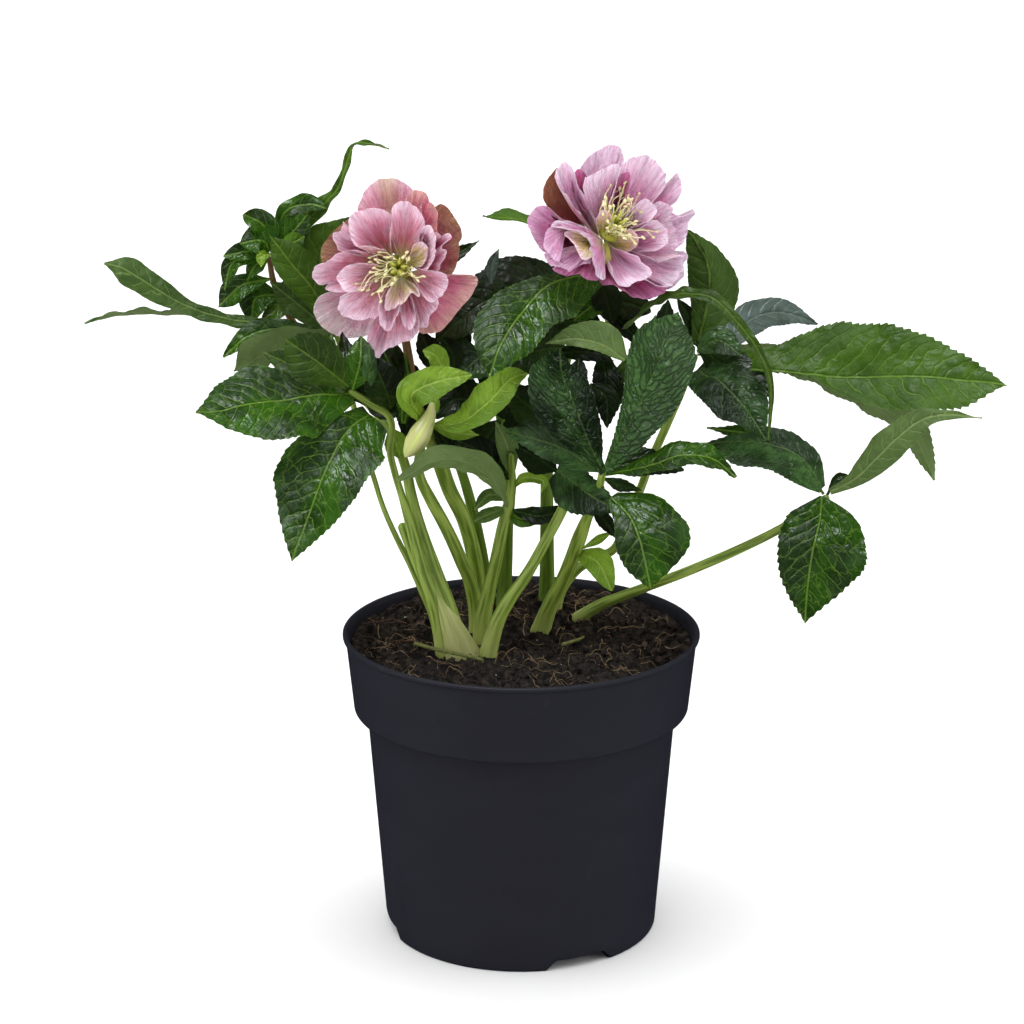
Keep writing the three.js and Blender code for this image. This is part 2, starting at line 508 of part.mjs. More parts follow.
// Flowers: sepals behind, petals in front, all around the centre and along its axis
const FLOWERS = {
  left: {
    stem: 'stem_flower_left',
    centre: [-56.8, -28, 322.8],
    axis: [0.03, -0.97, 0.24],
    look: 'front',
    sepals: {
      top: { halfWidth: 15, peak: 0.66, route: [[-56.5, -24.4, 325.4], [-59.3, -26.8, 344],
        [-62, -26, 361.5]] },
      upper_right: { halfWidth: 13, peak: 0.64, route: [[-54.4, -24.6, 323.6], [-41, -21.5, 334],
        [-30, -18, 340.5]] },
      lower_right: { halfWidth: 14, peak: 0.72, route: [[-54.6, -25.5, 321.2], [-36.5, -29, 312],
        [-26.5, -26, 305]] },
      lower_left: { halfWidth: 12.5, peak: 0.7, route: [[-58.8, -25.5, 320.8], [-76, -31, 308],
        [-87.5, -29, 297.5]] },
      upper_left: { halfWidth: 9.5, peak: 0.64, route: [[-59.2, -25.5, 323.8], [-76, -23, 331],
        [-89.5, -20, 336.5]] },
    },
    petals: [
      { halfWidth: 8.7, route: [[-59.5, -30, 326], [-67.5, -42, 336], [-77.5, -41, 342]] },
      { halfWidth: 4.6, route: [[-61, -30, 325], [-73, -35, 332], [-82, -35, 343]] },
      { halfWidth: 9, route: [[-61.5, -30, 321.5], [-78.5, -41, 321], [-95, -38, 318.6]] },
      { halfWidth: 8.6, route: [[-60, -30, 319.5], [-70.5, -43, 310], [-81, -43, 302.3]] },
      { halfWidth: 9.6, route: [[-57.5, -30, 318], [-60.5, -42, 301], [-65.7, -38, 281.2]] },
      { halfWidth: 8.6, route: [[-54, -30, 318], [-49.5, -41, 304], [-47.8, -39, 291.2]] },
      { halfWidth: 7, route: [[-52, -30, 320.5], [-42.2, -41, 315.3], [-34, -40, 313]] },
      { halfWidth: 7, route: [[-52, -30, 325], [-43, -42, 330.3], [-33.4, -41, 335.9]] },
      { halfWidth: 8, route: [[-54.5, -30, 327.5], [-50.2, -41, 339.5], [-49.2, -38, 351.5]] },
    ],
  },
  right: {
    stem: 'stem_flower_right',
    centre: [40.5, -28, 340.5],
    axis: [0.25, -0.84, 0.48],
    look: 'frontUp',
    sepals: {
      top: { halfWidth: 10, peak: 0.66, route: [[40.2, -23.6, 343], [37.7, -22, 361],
        [38.5, -15, 377.5]] },
      left: { halfWidth: 7, peak: 0.6, route: [[36.8, -24.5, 342.4], [23, -30, 353.5],
        [15.4, -30.5, 368.2]] },
      low_left: { halfWidth: 8.5, peak: 0.66, route: [[36, -27.5, 338.5], [20, -33, 339],
        [3.5, -33, 341.4]] },
      low_right: { halfWidth: 9, peak: 0.62, route: [[42.2, -26.3, 338.4], [58, -27, 326],
        [72, -23, 327.6]] },
      right: { halfWidth: 8, peak: 0.6, route: [[43.2, -24, 341.6], [61, -17, 345], [77, -10, 349]] },
    },
    petals: [
      { halfWidth: 12.5, route: [[43.5, -26.3, 345], [52.4, -33, 358], [56.7, -26, 373.5]] },
      { halfWidth: 7, route: [[39, -27.7, 345], [34, -36, 355], [31.2, -36, 366]] },
      { halfWidth: 5, route: [[37, -28.8, 344], [27.6, -40, 355], [18.8, -41, 370]] },
      { halfWidth: 9, route: [[45, -27, 343], [59, -33, 352], [70.7, -27, 366]] },
      { halfWidth: 10.5, route: [[36, -32.3, 338.5], [24.5, -46, 335], [12.2, -48, 339.5]] },
      { halfWidth: 7, route: [[37, -33.4, 336], [26.8, -47, 327.5], [15.8, -48, 325.6]] },
      { halfWidth: 9.5, route: [[42, -31.9, 336], [49.8, -46, 325.6], [54.4, -45, 318.2]] },
      { halfWidth: 8.8, route: [[45, -29, 339.5], [59, -38, 336.8], [70, -34, 332.2]] },
      { halfWidth: 7.5, route: [[39, -32.8, 336], [38.5, -40, 322.8], [41.7, -39, 315.3]] },
      { halfWidth: 9.5, route: [[42, -31.9, 336], [49.5, -41, 322], [58, -39, 311]] },
    ],
  },
};

const COLOURS = {
  pot: ['#292a33', 0.5],
  soil: ['#2c211b', 0.95],
  stem: ['#7d9a4c', 0.55],
  leaf: ['#2f5220', 0.4],
  bract: ['#7fa53a', 0.5],
  bud: ['#b9c777', 0.55],
  sepal: ['#b98a90', 0.6],
  petal: ['#d9a0bd', 0.6],
  stamen: ['#e6dc9a', 0.6],
};

// Assembly

const plant = new THREE.Group();

function place(name, solid, [colour, roughness]) {
  const material = new THREE.MeshStandardMaterial({ color: colour, roughness, metalness: 0 });
  const mesh = new THREE.Mesh(geometryOf(solid), material);
  mesh.name = name;
  plant.add(mesh);
}

// The axis that a flower faces along, and two directions across it.
function flowerFrame(flower) {
  const axis = new THREE.Vector3(...flower.axis).normalize();
  const side = new THREE.Vector3(1, 0, 0).cross(axis).normalize();
  const front = new THREE.Vector3().crossVectors(axis, side);
  const along = (distance) => at(flower.centre).addScaledVector(axis, distance);
  return { axis, side, front, along };
}

// A short disc along a flower's axis, from one distance to another.
function axialDisc(flower, radius, from, to, sides) {
  const { side, front, along } = flowerFrame(flower);
  return skinned([from, to].map((distance) => circle(along(distance), side, front, radius, sides)));
}

// A rounded boss of carpels with a spray of filaments around it.
function stamenSolid(flower) {
  const { axis, side, front, along } = flowerFrame(flower);
  const foot = CUP_THICKNESS + GAP;
  const boss = skinned(BOSS.map(([up, radius]) => circle(along(foot + up), side, front, radius, 8)));
  const filaments = Array.from({ length: FILAMENTS }, (_, i) => {
    const turn = i * FILAMENT_TURN;
    const lean = 0.25 + 0.35 * ((i % 4) / 3);
    const out = side.clone().multiplyScalar(Math.cos(turn)).addScaledVector(front, Math.sin(turn));
    const root = along(foot + FILAMENT_ROOT.up).addScaledVector(out, FILAMENT_ROOT.out);
    const heading = axis.clone().addScaledVector(out, lean).normalize();
    const tip = root.clone().addScaledVector(heading, FILAMENT_TIP.length + (i % 3));
    const ends = [[root, FILAMENT_ROOT.radius], [tip, FILAMENT_TIP.radius]];
    return skinned(ends.map(([centre, radius]) => circle(centre, side, front, radius, 4)));
  });
  return joined([boss, ...filaments]);
}

place('pot', potSolid(), COLOURS.pot);
place('soil', soilSolid(), COLOURS.soil);

const carriers = {
  left_front: carriersOf(...LEFT_FRONT_PETIOLE),
  left_back: carriersOf(...STEMS.petiole_left_back),
};
for (const [name, [points, radii]] of Object.entries(STEMS)) {
  carriers[name] = carriersOf(points, radii);
}

const underground = belowSoil(GAP);
const receptacles = Object.fromEntries(Object.values(FLOWERS).map((flower) => (
  [flower.stem, axialDisc(flower, RECEPTACLE_RADIUS, -RECEPTACLE_LENGTH, -GAP, 8)]
)));
for (const [name, [points, radii]] of Object.entries(STEMS)) {
  const whole = receptacles[name] ? stem(points, radii).add(receptacles[name]) : stem(points, radii);
  place(name, whole.subtract(underground), COLOURS.stem);
}
const leftClump = [LEFT_FRONT_PETIOLE, TUFT_STEM, CUT_STUB].map(([points, radii]) => stem(points, radii));
place('stems_left_clump', joined(leftClump).subtract(underground), COLOURS.stem);

for (const [name, { carrier, ...shape }] of Object.entries(LEAVES)) {
  const solid = blade({ ...shape, thickness: LEAF_THICKNESS, clearOf: carriers[carrier] });
  place(name, solid, name.startsWith('bract') || name.endsWith('bright') ? COLOURS.bract : COLOURS.leaf);
}
const tuft = joined(TUFT_LEAVES.map((leaf) => blade({ ...leaf, thickness: LEAF_THICKNESS })));
place('leaves_tuft', tuft, COLOURS.leaf);

const budAcross = new THREE.Vector3(0.8, 0, -0.6);
const budDeep = new THREE.Vector3(0, 1, 0);
const budRings = BUD.map(([centre, radius]) => circle(at(centre), budAcross, budDeep, radius, 8));
place('bud', skinned(budRings), COLOURS.bud);

for (const [side, flower] of Object.entries(FLOWERS)) {
  const axis = new THREE.Vector3(...flower.axis).normalize();
  const centre = at(flower.centre).addScaledVector(axis, -RECEPTACLE_LENGTH / 2);
  const carrier = [{ centre, radius: RECEPTACLE_RADIUS }];
  for (const [where, shape] of Object.entries(flower.sepals)) {
    const sepal = blade({
      ...shape, fullness: 0.5, fold: 4, looks: flower.look, thickness: PETAL_THICKNESS, clearOf: carrier,
    });
    place(`sepal_${side}_${where}`, sepal, COLOURS.sepal);
  }
  const petals = flower.petals.map((shape) => blade({
    ...shape, peak: 0.6, fullness: 0.55, fold: 8, looks: flower.look, thickness: PETAL_THICKNESS,
  }));
  const cup = axialDisc(flower, CUP_RADIUS, 0, CUP_THICKNESS, 10);
  place(`petals_${side}`, joined([cup, ...petals]), COLOURS.petal);
  place(`stamens_${side}`, stamenSolid(flower), COLOURS.stamen);
}

export default plant;
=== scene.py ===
"""Double-flowered hellebore in a nursery pot: its leaves, flowers, stems, soil and pot, at real size.

Metres, +Z up, front towards -Y. The tables below are in millimetres.
"""

import itertools
import math

import bpy
import numpy as np
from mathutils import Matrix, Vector
from bpy.props import FloatProperty, FloatVectorProperty, IntProperty, PointerProperty
from bpy.types import Operator, Panel, PropertyGroup


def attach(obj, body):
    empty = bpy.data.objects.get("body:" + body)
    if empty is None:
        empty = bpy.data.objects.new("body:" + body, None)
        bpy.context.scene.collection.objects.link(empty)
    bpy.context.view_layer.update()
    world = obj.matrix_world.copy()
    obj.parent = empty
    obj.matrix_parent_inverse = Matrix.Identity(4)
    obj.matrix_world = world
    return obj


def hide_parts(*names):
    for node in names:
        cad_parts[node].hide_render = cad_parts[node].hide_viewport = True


bl_info = {
    "name": "Potted Hellebore",
    "version": (1, 0, 0),
    "blender": (4, 5, 0),
    "location": "3D View > Sidebar > Hellebore",
    "description": "Builds a double-flowered hellebore plant in its nursery pot, with a studio stage",
    "category": "Add Mesh",
}

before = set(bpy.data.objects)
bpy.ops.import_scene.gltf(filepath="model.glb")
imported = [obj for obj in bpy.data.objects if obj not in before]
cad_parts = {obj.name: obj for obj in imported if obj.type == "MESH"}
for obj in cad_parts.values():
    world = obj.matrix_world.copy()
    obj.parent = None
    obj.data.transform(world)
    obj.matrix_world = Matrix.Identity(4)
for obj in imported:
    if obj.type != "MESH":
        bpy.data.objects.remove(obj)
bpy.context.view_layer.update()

MM = 0.001
BODY = "root"


def linear(*channels):
    """A display colour, 0 to 255 a channel, as the linear colour that a shader takes."""
    shares = [value / 255 for value in channels]
    return tuple(s / 12.92 if s <= 0.04045 else ((s + 0.055) / 1.055) ** 2.4 for s in shares)


def shades(*colours):
    return [linear(*colour) for colour in colours]


def toned(colour, share):
    return tuple(share * channel for channel in colour)


# ---------------------------------------------------------------------------------------------
# Layout, in millimetres. The plant is laid out on an upright sheet through the pot's axis, as seen
# from EYE. A point is (across, depth, height): its depth moves it along its line of sight.

EYE = np.array((-4.4, -1339.0, 596.0))

RIM_RADIUS = 85.0
POT_HEIGHT = 148.0
WALL = 1.5
BAND_BOTTOM = 110.0
BAND_RADIUS_LOW = 80.0
BAND_RADIUS_HIGH = 83.6
BODY_RADIUS_TOP = 73.9
BODY_RADIUS_LOW = 65.4
BEVEL = 0.8
SMALL_BEVEL = 0.6
LIP = 2.0
FOOT_RADIUS = BODY_RADIUS_LOW - BEVEL
FOOT_RING = 3.4
FLOOR_TOP = 4.2
CHANNEL_HEIGHT = 2.6
CHANNEL_SLOPE = 2.0
PAD_RADIUS = 20.0
NOTCH_HEIGHT = 5.2
NOTCH_SPAN = 26.0
NOTCH_HEADINGS = (25.6, 102.2, 205.6, 282.2)
NOTCH_DEPTH = 5.0
NOTCH_SLANT = 2.0
RINGS_ABOVE_NOTCH = (7.6, 18.0)
AXIS_HOLE = 0.01

SOIL_LEVEL = 141.0
SOIL_LEAN = 0.055
SOIL_SPREAD = 77.0
ROOT_SPREAD = 74.0
ROOT_STRIDE = 2.4
GRIT_GRAINS = 26
GAP = 0.35

FLARE_HEIGHT = 9.0
TOOTH_PITCH = 3.4
TOOTH_STEPS = 4
SAW = np.array((0.0, 0.3, 0.7, 1.0))
BLADE_THICKNESS = 0.4
RIB_THICKNESS = 0.8
EDGE_WOBBLE = 0.04
PETAL_THICKNESS = 0.35

RECEPTACLE_RADIUS = 3.0
RECEPTACLE_LENGTH = 5.0
CUP_THICKNESS = 3.0
CARPELS = 5
STAMEN_REACH = 17.0

# Seeds of the random draws, each the first of a run
SOIL_SEED = 21
SHOOT_SEED = 20
CLUMP_SEED = 30
SHEATH_SEED = 40
TUFT_SEED = 200
SEPAL_SEED = 300
PETAL_SEED = 400
STAMEN_SEED = 500

CAMERA_PITCH = 16.24
CAMERA_LENS = 104.13
CAMERA_SENSOR = 36
CAMERA_REACH = 200
LAMP_WAY = (-0.1, -0.28, 0.955)
BACK_WAY = (0.04, 0.62, 0.78)
SHEEN_WAY = (-0.16, -0.42, 0.89)
BACK_SHARE = 0.55
LAMP_COLOUR = (1.0, 1.0, 1.0)
SHEEN_COLOUR = (0.94, 0.97, 1.0)
FLOOR_COLOUR = (0.76, 0.76, 0.76, 1)

# Directions that the upper side of a leaf or petal can look in
LOOKS = {
    "viewer": (0, -0.85, 0.53),
    "front": (0, -1, 0.05),
    "up": (0, -0.15, 1),
    "front_up": (0, -0.55, 0.83),
    "level": (0, 0.28, 0.96),
    "behind": (0, 0.75, 0.66),
    "front_right": (0.5, -0.75, 0.45),
    "folded": (0, -0.7, 0.7),
}


def leaf(skin, width, route, **lie):
    """A blade's skin, half width (a number, widths from base to tip, or a pair of either) and route."""
    return {"skin": skin, "width": width, "route": route, **lie}


def fan(base, margin, **lie):
    """A petal's base, and the points around its margin."""
    return {"base": base, "margin": margin, **lie}


# Stems: points, and radii spread evenly along them
STEMS = {
    "stem_flower_left": ([
        (-18.8, 36, 147), (-20.1, 28, 163), (-21.9, 20, 182), (-26.9, 10, 202), (-33.6, 2, 216.5),
        (-38.2, -6, 230), (-43.6, -14, 245), (-48.2, -20, 255), (-50.9, -24, 267.4), (-52.2, -25, 279.3),
        (-54.4, -22, 294), (-56.6, -22, 313), (-56.6, -24.5, 321.4)
    ], [4.2, 3.8, 3.6, 3.6, 3.6, 3, 2.4, 2, 1.9, 1.9]),
    "stem_bud": ([
        (-20.6, 15, 140), (-21.6, 12, 157), (-24.4, 6, 172), (-28.4, 0, 182), (-32.6, -5, 192),
        (-37.2, -10, 201.7), (-42.4, -16, 211.6), (-47.6, -22, 223), (-47.9, -27, 233.5), (-43.6, -33, 247)
    ], [3.3, 3.3, 3.2, 3, 2.8, 2.2, 1.7]),
    "stem_leafy": ([
        (-18.2, 3, 134), (-18.2, 2, 152), (-15.3, 0, 167), (-12, -3, 182), (-9.1, -6, 197), (-6.3, -9, 209),
        (-4.4, -12, 219), (-4.9, -20, 233.5)
    ], [4, 3.8, 3.2, 3, 2.8, 2.6, 2, 1.4]),
    "stem_back_left": ([
        (-8.2, 56, 150), (-7.7, 50, 172), (-6.8, 44, 187), (-6.3, 38, 202), (-5.3, 30, 216.5),
        (-7.7, 22, 236), (-10.9, 14, 260), (-14.6, 8, 284), (-15.5, 6, 306)
    ], [3.6, 3.2, 2.7, 2.6, 2.5, 2.2, 1.8, 1.4]),
    "stem_back": ([
        (12.2, 58, 150), (12.2, 54, 172), (12.1, 48, 187), (12.1, 42, 202), (12, 36, 216.5),
        (12.4, 30, 236), (16.1, 24, 260), (23.4, 22, 289), (28.8, 26, 312), (31.4, 30, 331)
    ], [3.6, 3.5, 3.4, 3.2, 3, 2.6, 2.2, 1.8, 1.4]),
    "petiole_centre": ([
        (7, 18, 140), (13.2, 12, 158.5), (19.8, 4, 172), (24, -4, 183), (27.7, -14, 194), (31.4, -26, 204),
        (35.6, -37, 213), (37.8, -47, 224)
    ], [4, 3.7, 3.6, 3.5, 3.4, 2.4, 1.9, 1.8]),
    "stem_flower_right": ([
        (-17.3, -17, 130), (-11.5, -18, 151), (-5.4, -19, 163), (1.3, -20, 173), (7, -21, 183),
        (12.1, -22, 193), (16.8, -23, 202), (20.5, -22, 210), (25.6, -18, 224), (31.1, -14, 243),
        (35.6, -12, 265), (39.1, -12, 286.5), (41.3, -13, 308), (40.4, -18, 328), (39.4, -24.5, 338.5)
    ], [3.6, 3.3, 2.9, 2.6, 2.5, 2.5, 2.4, 2.2, 2, 2, 2, 2]),
    "petiole_right_high": ([
        (14.6, 46, 148), (18.4, 46, 166), (26.9, 44, 178), (37.2, 40, 184), (44.7, 36, 189),
        (51.6, 27, 206), (56.2, 22, 218), (60.7, 18, 231), (65.2, 14, 242), (70.2, 9, 254), (74.7, 4, 265),
        (80, 0, 280.7)
    ], [2.5, 2.4, 2.2, 2.1, 2.1, 2, 2, 1.9, 1.8]),
    "petiole_right_low": ([
        (22, 33, 144), (24.6, 32, 151), (36.5, 26, 159.5), (46.9, 18, 164), (61, 8, 169.6),
        (79.9, -3, 177.2), (103.3, -12, 187.8), (124.3, -18, 199), (143.2, -22, 212.6)
    ], [2.9, 2.7, 2.5, 2.3, 2.3, 2.2, 2, 1.8]),
    "petiole_left_back": ([
        (-36.8, 6, 134), (-41.8, 3, 154.4), (-46.9, -1, 167), (-52.6, -3, 180.4), (-57.8, -4, 191),
        (-62.6, -5, 202), (-66.1, -6, 211.6), (-69.1, -6, 222.3), (-74.5, -4, 241), (-79.8, 0, 265),
        (-84, 4, 286.5), (-85.8, 5, 292)
    ], [2.4, 2, 1.6, 1.3, 1.2, 1.3, 1.4, 1.6]),
}

# A stalk, the tuft's stem and a cut stub that grow from one flared foot
LEFT_CLUMP = [
    ([
        (-35, -14, 130), (-40.1, -14, 157), (-45.6, -15, 174.5), (-49.8, -16, 189.4), (-53.4, -18, 204),
        (-56.6, -21, 215.5), (-59.3, -24, 225), (-61.5, -28, 236), (-60.4, -30, 246), (-62.2, -32, 253),
        (-69.6, -36, 258), (-78.9, -40, 264)
    ], [4, 3.8, 3, 2.4, 1.7, 1.6, 1.6, 1.6, 1.7, 1.6]),
    ([
        (-28.8, -13, 131), (-34.8, -13, 157), (-40.7, -12, 174.5), (-45.5, -11, 189.4), (-49.5, -10, 204),
        (-52.2, -9, 216.5), (-54.6, -8, 229), (-61.4, 0, 246), (-72.9, 10, 260), (-86.6, 15, 274.6),
        (-97.9, 17, 287.5), (-106, 15, 298), (-110.9, 12, 308), (-114.4, 8, 317), (-115.8, 6, 327)
    ], [4.8, 4.4, 4, 3.2, 2.6, 2.4, 2.2, 2, 1.8, 1.7, 1.6, 1.5, 1.3]),
    ([
        (-37.5, -11, 143), (-44.3, -11, 167), (-50.3, -10, 183), (-55.8, -9, 198.3)
    ], [2.8, 2.6, 2.4, 2.4]),
]
BACK_SHOOT = (
    [(-14.9, 58, 162), (-17.2, 50, 174.5), (-19.5, 40, 189.4), (-22.3, 30, 204.2), (-26, 20, 219),
     (-29.7, 12, 231), (-33.4, 4, 245.7), (-34.7, -4, 260.2), (-30.9, -10, 272.2)],
    [3.2, 3, 2.6, 2.2, 1.8, 1.5])

# Shares of a stem's length between which it turns red, by node or by place in the left clump
BLUSH = {"stem_flower_left": (0.5, 0.75), 1: (0.6, 0.8)}

# Pale sheaths around the foot of the left clump
SHEATHS = [
    ([(-27, -15, 131), (-32.5, -15, 147), (-38.5, -14.5, 162), (-43.5, -14, 175)],
     [7.5, 6.2, 4.4, 2.6, 1.2]),
    ([(-33, -11, 131), (-36.5, -12.5, 146), (-41.5, -13, 160), (-47, -14, 172)], [6.5, 5.4, 3.8, 2.2, 1]),
]

# Fallen stalks on the soil: points and radius
FALLEN_STALKS = [
    ([(-50.5, -8, 140.5), (-38, -26, 137), (-20, -44, 133), (-18.5, -45, 131)], 0.9),
    ([(19.5, -12, 140.2), (27, 2, 142.5), (33, 12, 145.6)], 0.8),
]

# Leaves, each for the CAD node of its name
LEAVES = {
    "leaf_left_front_long": leaf("glossy", ([5, 13, 22, 22, 14], [2, 5, 13, 20, 16]), [
        (-78.9, -37, 263.7), (-94.7, -46, 262.2), (-111, -55, 261.3), (-131.1, -65, 257.4),
        (-151.7, -74, 255)
    ], looks=("viewer", "front_up"), fold=5, curl=-0.1, sway=0.12),
    "leaf_left_front_low": leaf("glossy", ([11, 20.5, 19, 14.5], [5, 9.5, 20, 18.5]), [
        (-70.6, -38, 253.6), (-81, -50, 245.9), (-90.6, -60, 228.9), (-98.5, -67, 209.4),
        (-108.5, -72, 181.8)
    ], fold=6, curl=-0.12, sway=0.12),
    "leaf_left_front_round": leaf("deep", 12, [
        (-80.2, -41.6, 266.6), (-94.4, -51, 278.4), (-109, -52, 289)
    ], peak=0.58, fullness=0.7, looks="front", fold=5, tone=0.3),
    "leaf_left_front_inner": leaf("dark", 9, [
        (-60.8, -31.7, 255.4), (-63.5, -41, 266), (-69.7, -41, 281.2)
    ], peak=0.56),
    "leaf_left_back_long": leaf(
        "dull", ([2.1, 3.2, 4, 4.4, 4.6, 6.4, 7.8, 6.7], [1.5, 2, 2.8, 3.2, 4, 5.8, 7.2, 6.1]), [
        (-86.7, 5, 293.7), (-107, 1, 295.7), (-130.1, -2, 298.1), (-146.1, -4, 301.8), (-157.5, -5, 306.5),
        (-166.6, -7, 311.7), (-175.6, -8, 317.8), (-183.7, -9, 322.5), (-191.9, -9, 324.7)
    ], looks="folded", fold=6, teeth=0.15, tone=0.1),
    "leaf_left_back_edge": leaf("glossy", 5, [
        (-87, 6, 292.5), (-125.5, 7, 298), (-160, 9, 301.7), (-180.8, 7, 301.7), (-202.2, 4, 297.4)
    ], peak=0.7, looks="level", fold=14, teeth=0.15),
    "leaf_left_back_low": leaf("dull", [4, 9, 12, 13, 12], [
        (-87, 4, 291), (-111.9, -10, 285.5), (-133.5, -16, 274)
    ], looks="behind", teeth=0.2),
    "leaf_tuft_long": leaf("mid", [3, 5.5, 8, 9, 6.5], [
        (-85.4, 4, 292.7), (-96.1, -4, 312.5), (-106.4, -8, 325.6), (-115.3, -8, 337.7)
    ], fold=12, teeth=0.3, tone=0.1),
    "leaf_tuft_ribbon": leaf("mid", [3.5, 4.5, 2.4, 1.9, 1.9, 1.9, 1.8, 1.2], [
        (-102.6, 8.3, 341), (-91.2, 8, 352), (-84.7, 5, 359), (-80.9, 4, 368), (-78.5, 3, 375.5),
        (-76.2, 2, 380.5), (-69.8, 0, 380.5), (-60.3, -2, 378.2)
    ], looks=("viewer", "up"), fold=12, teeth=0),
    "bract_upper": leaf("young", 8, [
        (-45.4, -34.4, 249.8), (-51.5, -45, 262), (-39.3, -48, 269), (-23, -47, 272.2)
    ], peak=0.5, fullness=0.7, looks=("front_right", "viewer"), fold=8, teeth=0.25),
    "bract_side": leaf("young", 9, [
        (-42, -34, 248.6), (-27.7, -46, 250), (-14.6, -52, 260), (-5.3, -52, 270), (3, -50, 272.7)
    ], peak=0.45, looks=("front_up", "viewer"), fold=14, teeth=0.25),
    "leaf_arched_under": leaf("pale", 10, [
        (-6.8, -12, 209), (-12.5, -26, 221), (-23.1, -38, 229.5), (-39.1, -45, 232), (-58.4, -47, 221.3)
    ], looks="behind", peak=0.6, fold=8, teeth=0.15),
    "leaf_under_right_flower": leaf("glossy", ([6, 19, 15, 13], [3, 5, 15, 14]), [
        (36.1, -15, 321), (14.5, -30, 315.8), (1.1, -44, 303.1), (-9, -56, 287.5), (-15.1, -63, 271.3)
    ], fold=8, curl=-0.1, tone=0.2),
    "leaf_dark_behind": leaf("dark", 14, [
        (28.5, 24, 314), (3.9, 6, 315.5), (-19.2, -8, 305.5), (-40, -14, 288)
    ], fullness=0.75),
    "leaf_centre_left": leaf("bluish", ([1.5, 7, 16, 19, 15], [1.5, 4, 8.5, 9.5, 5]), [
        (38.3, -48, 225), (31.1, -55, 241), (24, -59, 259.3), (18.8, -58, 273.7), (17.8, -56, 285.1)
    ], fold=14, tone=0.2),
    "leaf_centre_right": leaf("bluish", ([1.5, 4, 9, 14, 13], [1.5, 9.5, 15, 17, 12.5]), [
        (39.2, -49, 225), (47, -57, 242), (55.7, -62, 260.3), (62.9, -65, 277), (67.8, -64, 289.9),
        (72.3, -61, 302.2)
    ], fold=8, tone=0.95),
    "leaf_centre_side": leaf("glossy", 7.5, [
        (39.5, -49, 224.5), (57.9, -58, 228.3), (77, -62, 234), (91, -62, 231.5), (100.8, -60, 223)
    ], looks="front_up"),
    "leaf_centre_dark": leaf("cool", ([3, 7, 8, 6], [6, 12, 12, 7]), [
        (16.2, -26, 226.5), (24.2, -33, 220.6), (33.7, -44, 213.3), (47.4, -46, 206)
    ], looks="front", fold=4, tone=0.55),
    "leaf_centre_round": leaf("glossy", ([4, 17, 23, 17.5], [3, 8, 11, 9]), [
        (42.1, -47, 213.3), (50.7, -56, 204.5), (56, -62, 192.2), (59, -62, 179.8), (61.5, -61, 167.9)
    ], fold=4, curl=-0.15),
    "leaf_stem_bright": leaf("young", 6.5, [
        (25.8, -7.4, 186), (36.3, -18, 181), (43, -20, 167)
    ], fullness=0.75, teeth=0.2),
    "leaf_right_high_upright": leaf("deep", ([0.5, 0.5, 0.5, 0.5, 0.5], [3, 14, 15, 9.5, 3.5]), [
        (81.8, 0, 286.1), (85.2, 3, 302.2), (86.8, 4, 314.9), (85.2, 3, 326.6), (80, 2, 335.9),
        (74.4, 1, 341.9)
    ], looks="front_right", fold=4, teeth=0.35, tone=1),
    "leaf_right_high_back": leaf("steel", [5, 8, 7.5, 5], [
        (96.5, 2, 289.4), (107.9, 12, 299.8), (121.7, 18, 301.7), (137.1, 20, 296.5)
    ], teeth=0.3, tone=0.4),
    "leaf_right_high_big": leaf("mid", ([8, 12, 20, 26, 24, 19.5, 12], [1, 1, 1, 8, 15, 17.5, 15]), [
        (100.5, -1, 275.6), (117.3, -8, 274.2), (136.8, -12, 272.3), (155, -16, 271.8), (180.1, -22, 271.8),
        (199.1, -26, 270.8), (225.8, -30, 267)
    ], fold=8, teeth=1),
    "leaf_right_high_under": leaf("pale", [3, 7, 9, 10, 11, 8], [
        (82.3, 1, 283.2), (110.6, 14, 281.8), (136.3, 22, 273.7), (162.8, 22, 260.3), (182.4, 18, 245.9),
        (194.1, 10, 221.6)
    ], looks="behind", tone=0.1),
    "leaf_right_high_low": leaf("cool", ([6, 12, 12], [8, 12.5, 11]), [
        (81.5, -1, 274.7), (93.3, -20, 267.5), (104.2, -34, 256.5), (114.4, -42, 241)
    ], teeth=0.3, sway=0.22, ripple=1.6),
    "leaf_arching": leaf("deep", 3.2, [
        (41, -14, 289), (47.4, -20, 295), (56.1, -28, 303), (66.1, -34, 309), (77.7, -40, 311),
        (89.2, -45, 308), (100.1, -50, 297), (109.6, -54, 284), (116, -55, 267.4), (115.5, -53, 241)
    ], peak=0.4, fullness=0.6, looks=("up", "front"), teeth=0, tone=0.7),
    "leaf_right_low_hanging": leaf("glossy", ([1, 17, 24.5, 23.5, 14.5], [1, 14, 17, 15.5, 9.5]), [
        (141.3, -23, 213.8), (140.7, -28, 202), (137.9, -33, 187.3), (136, -32, 169.9), (135.1, -30, 150.9)
    ], fold=8, curl=-0.1, teeth=0.8),
    "leaf_right_low_dark": leaf("cool", ([4, 14, 17, 19, 16], [2, 8, 9.5, 7, 4]), [
        (141.7, -22, 217.7), (131.9, -22, 230.9), (118.6, -21, 238.1), (102.2, -20, 240.5), (85, -18, 238.1)
    ], looks="front_up", tone=0.7),
    "leaf_right_low_rising": leaf("pale", [1.5, 3.6, 6.6, 7.8, 6.6, 4.2, 2.2], [
        (145, -22, 215.8), (157, -27, 222.6), (167, -32, 232.8), (176.5, -36, 242.5), (186.9, -39, 250.7),
        (197.6, -40, 253.1), (215.3, -38, 252.1)
    ], fold=4, teeth=0.1, tone=0.1),
    "leaf_back_light": leaf("mid", [3, 7, 10.5, 9], [
        (38.3, 30, 325.6), (17.6, 32, 337.3), (-0.7, 30, 345.6), (-17.7, 28, 348)
    ], looks="up"),
}

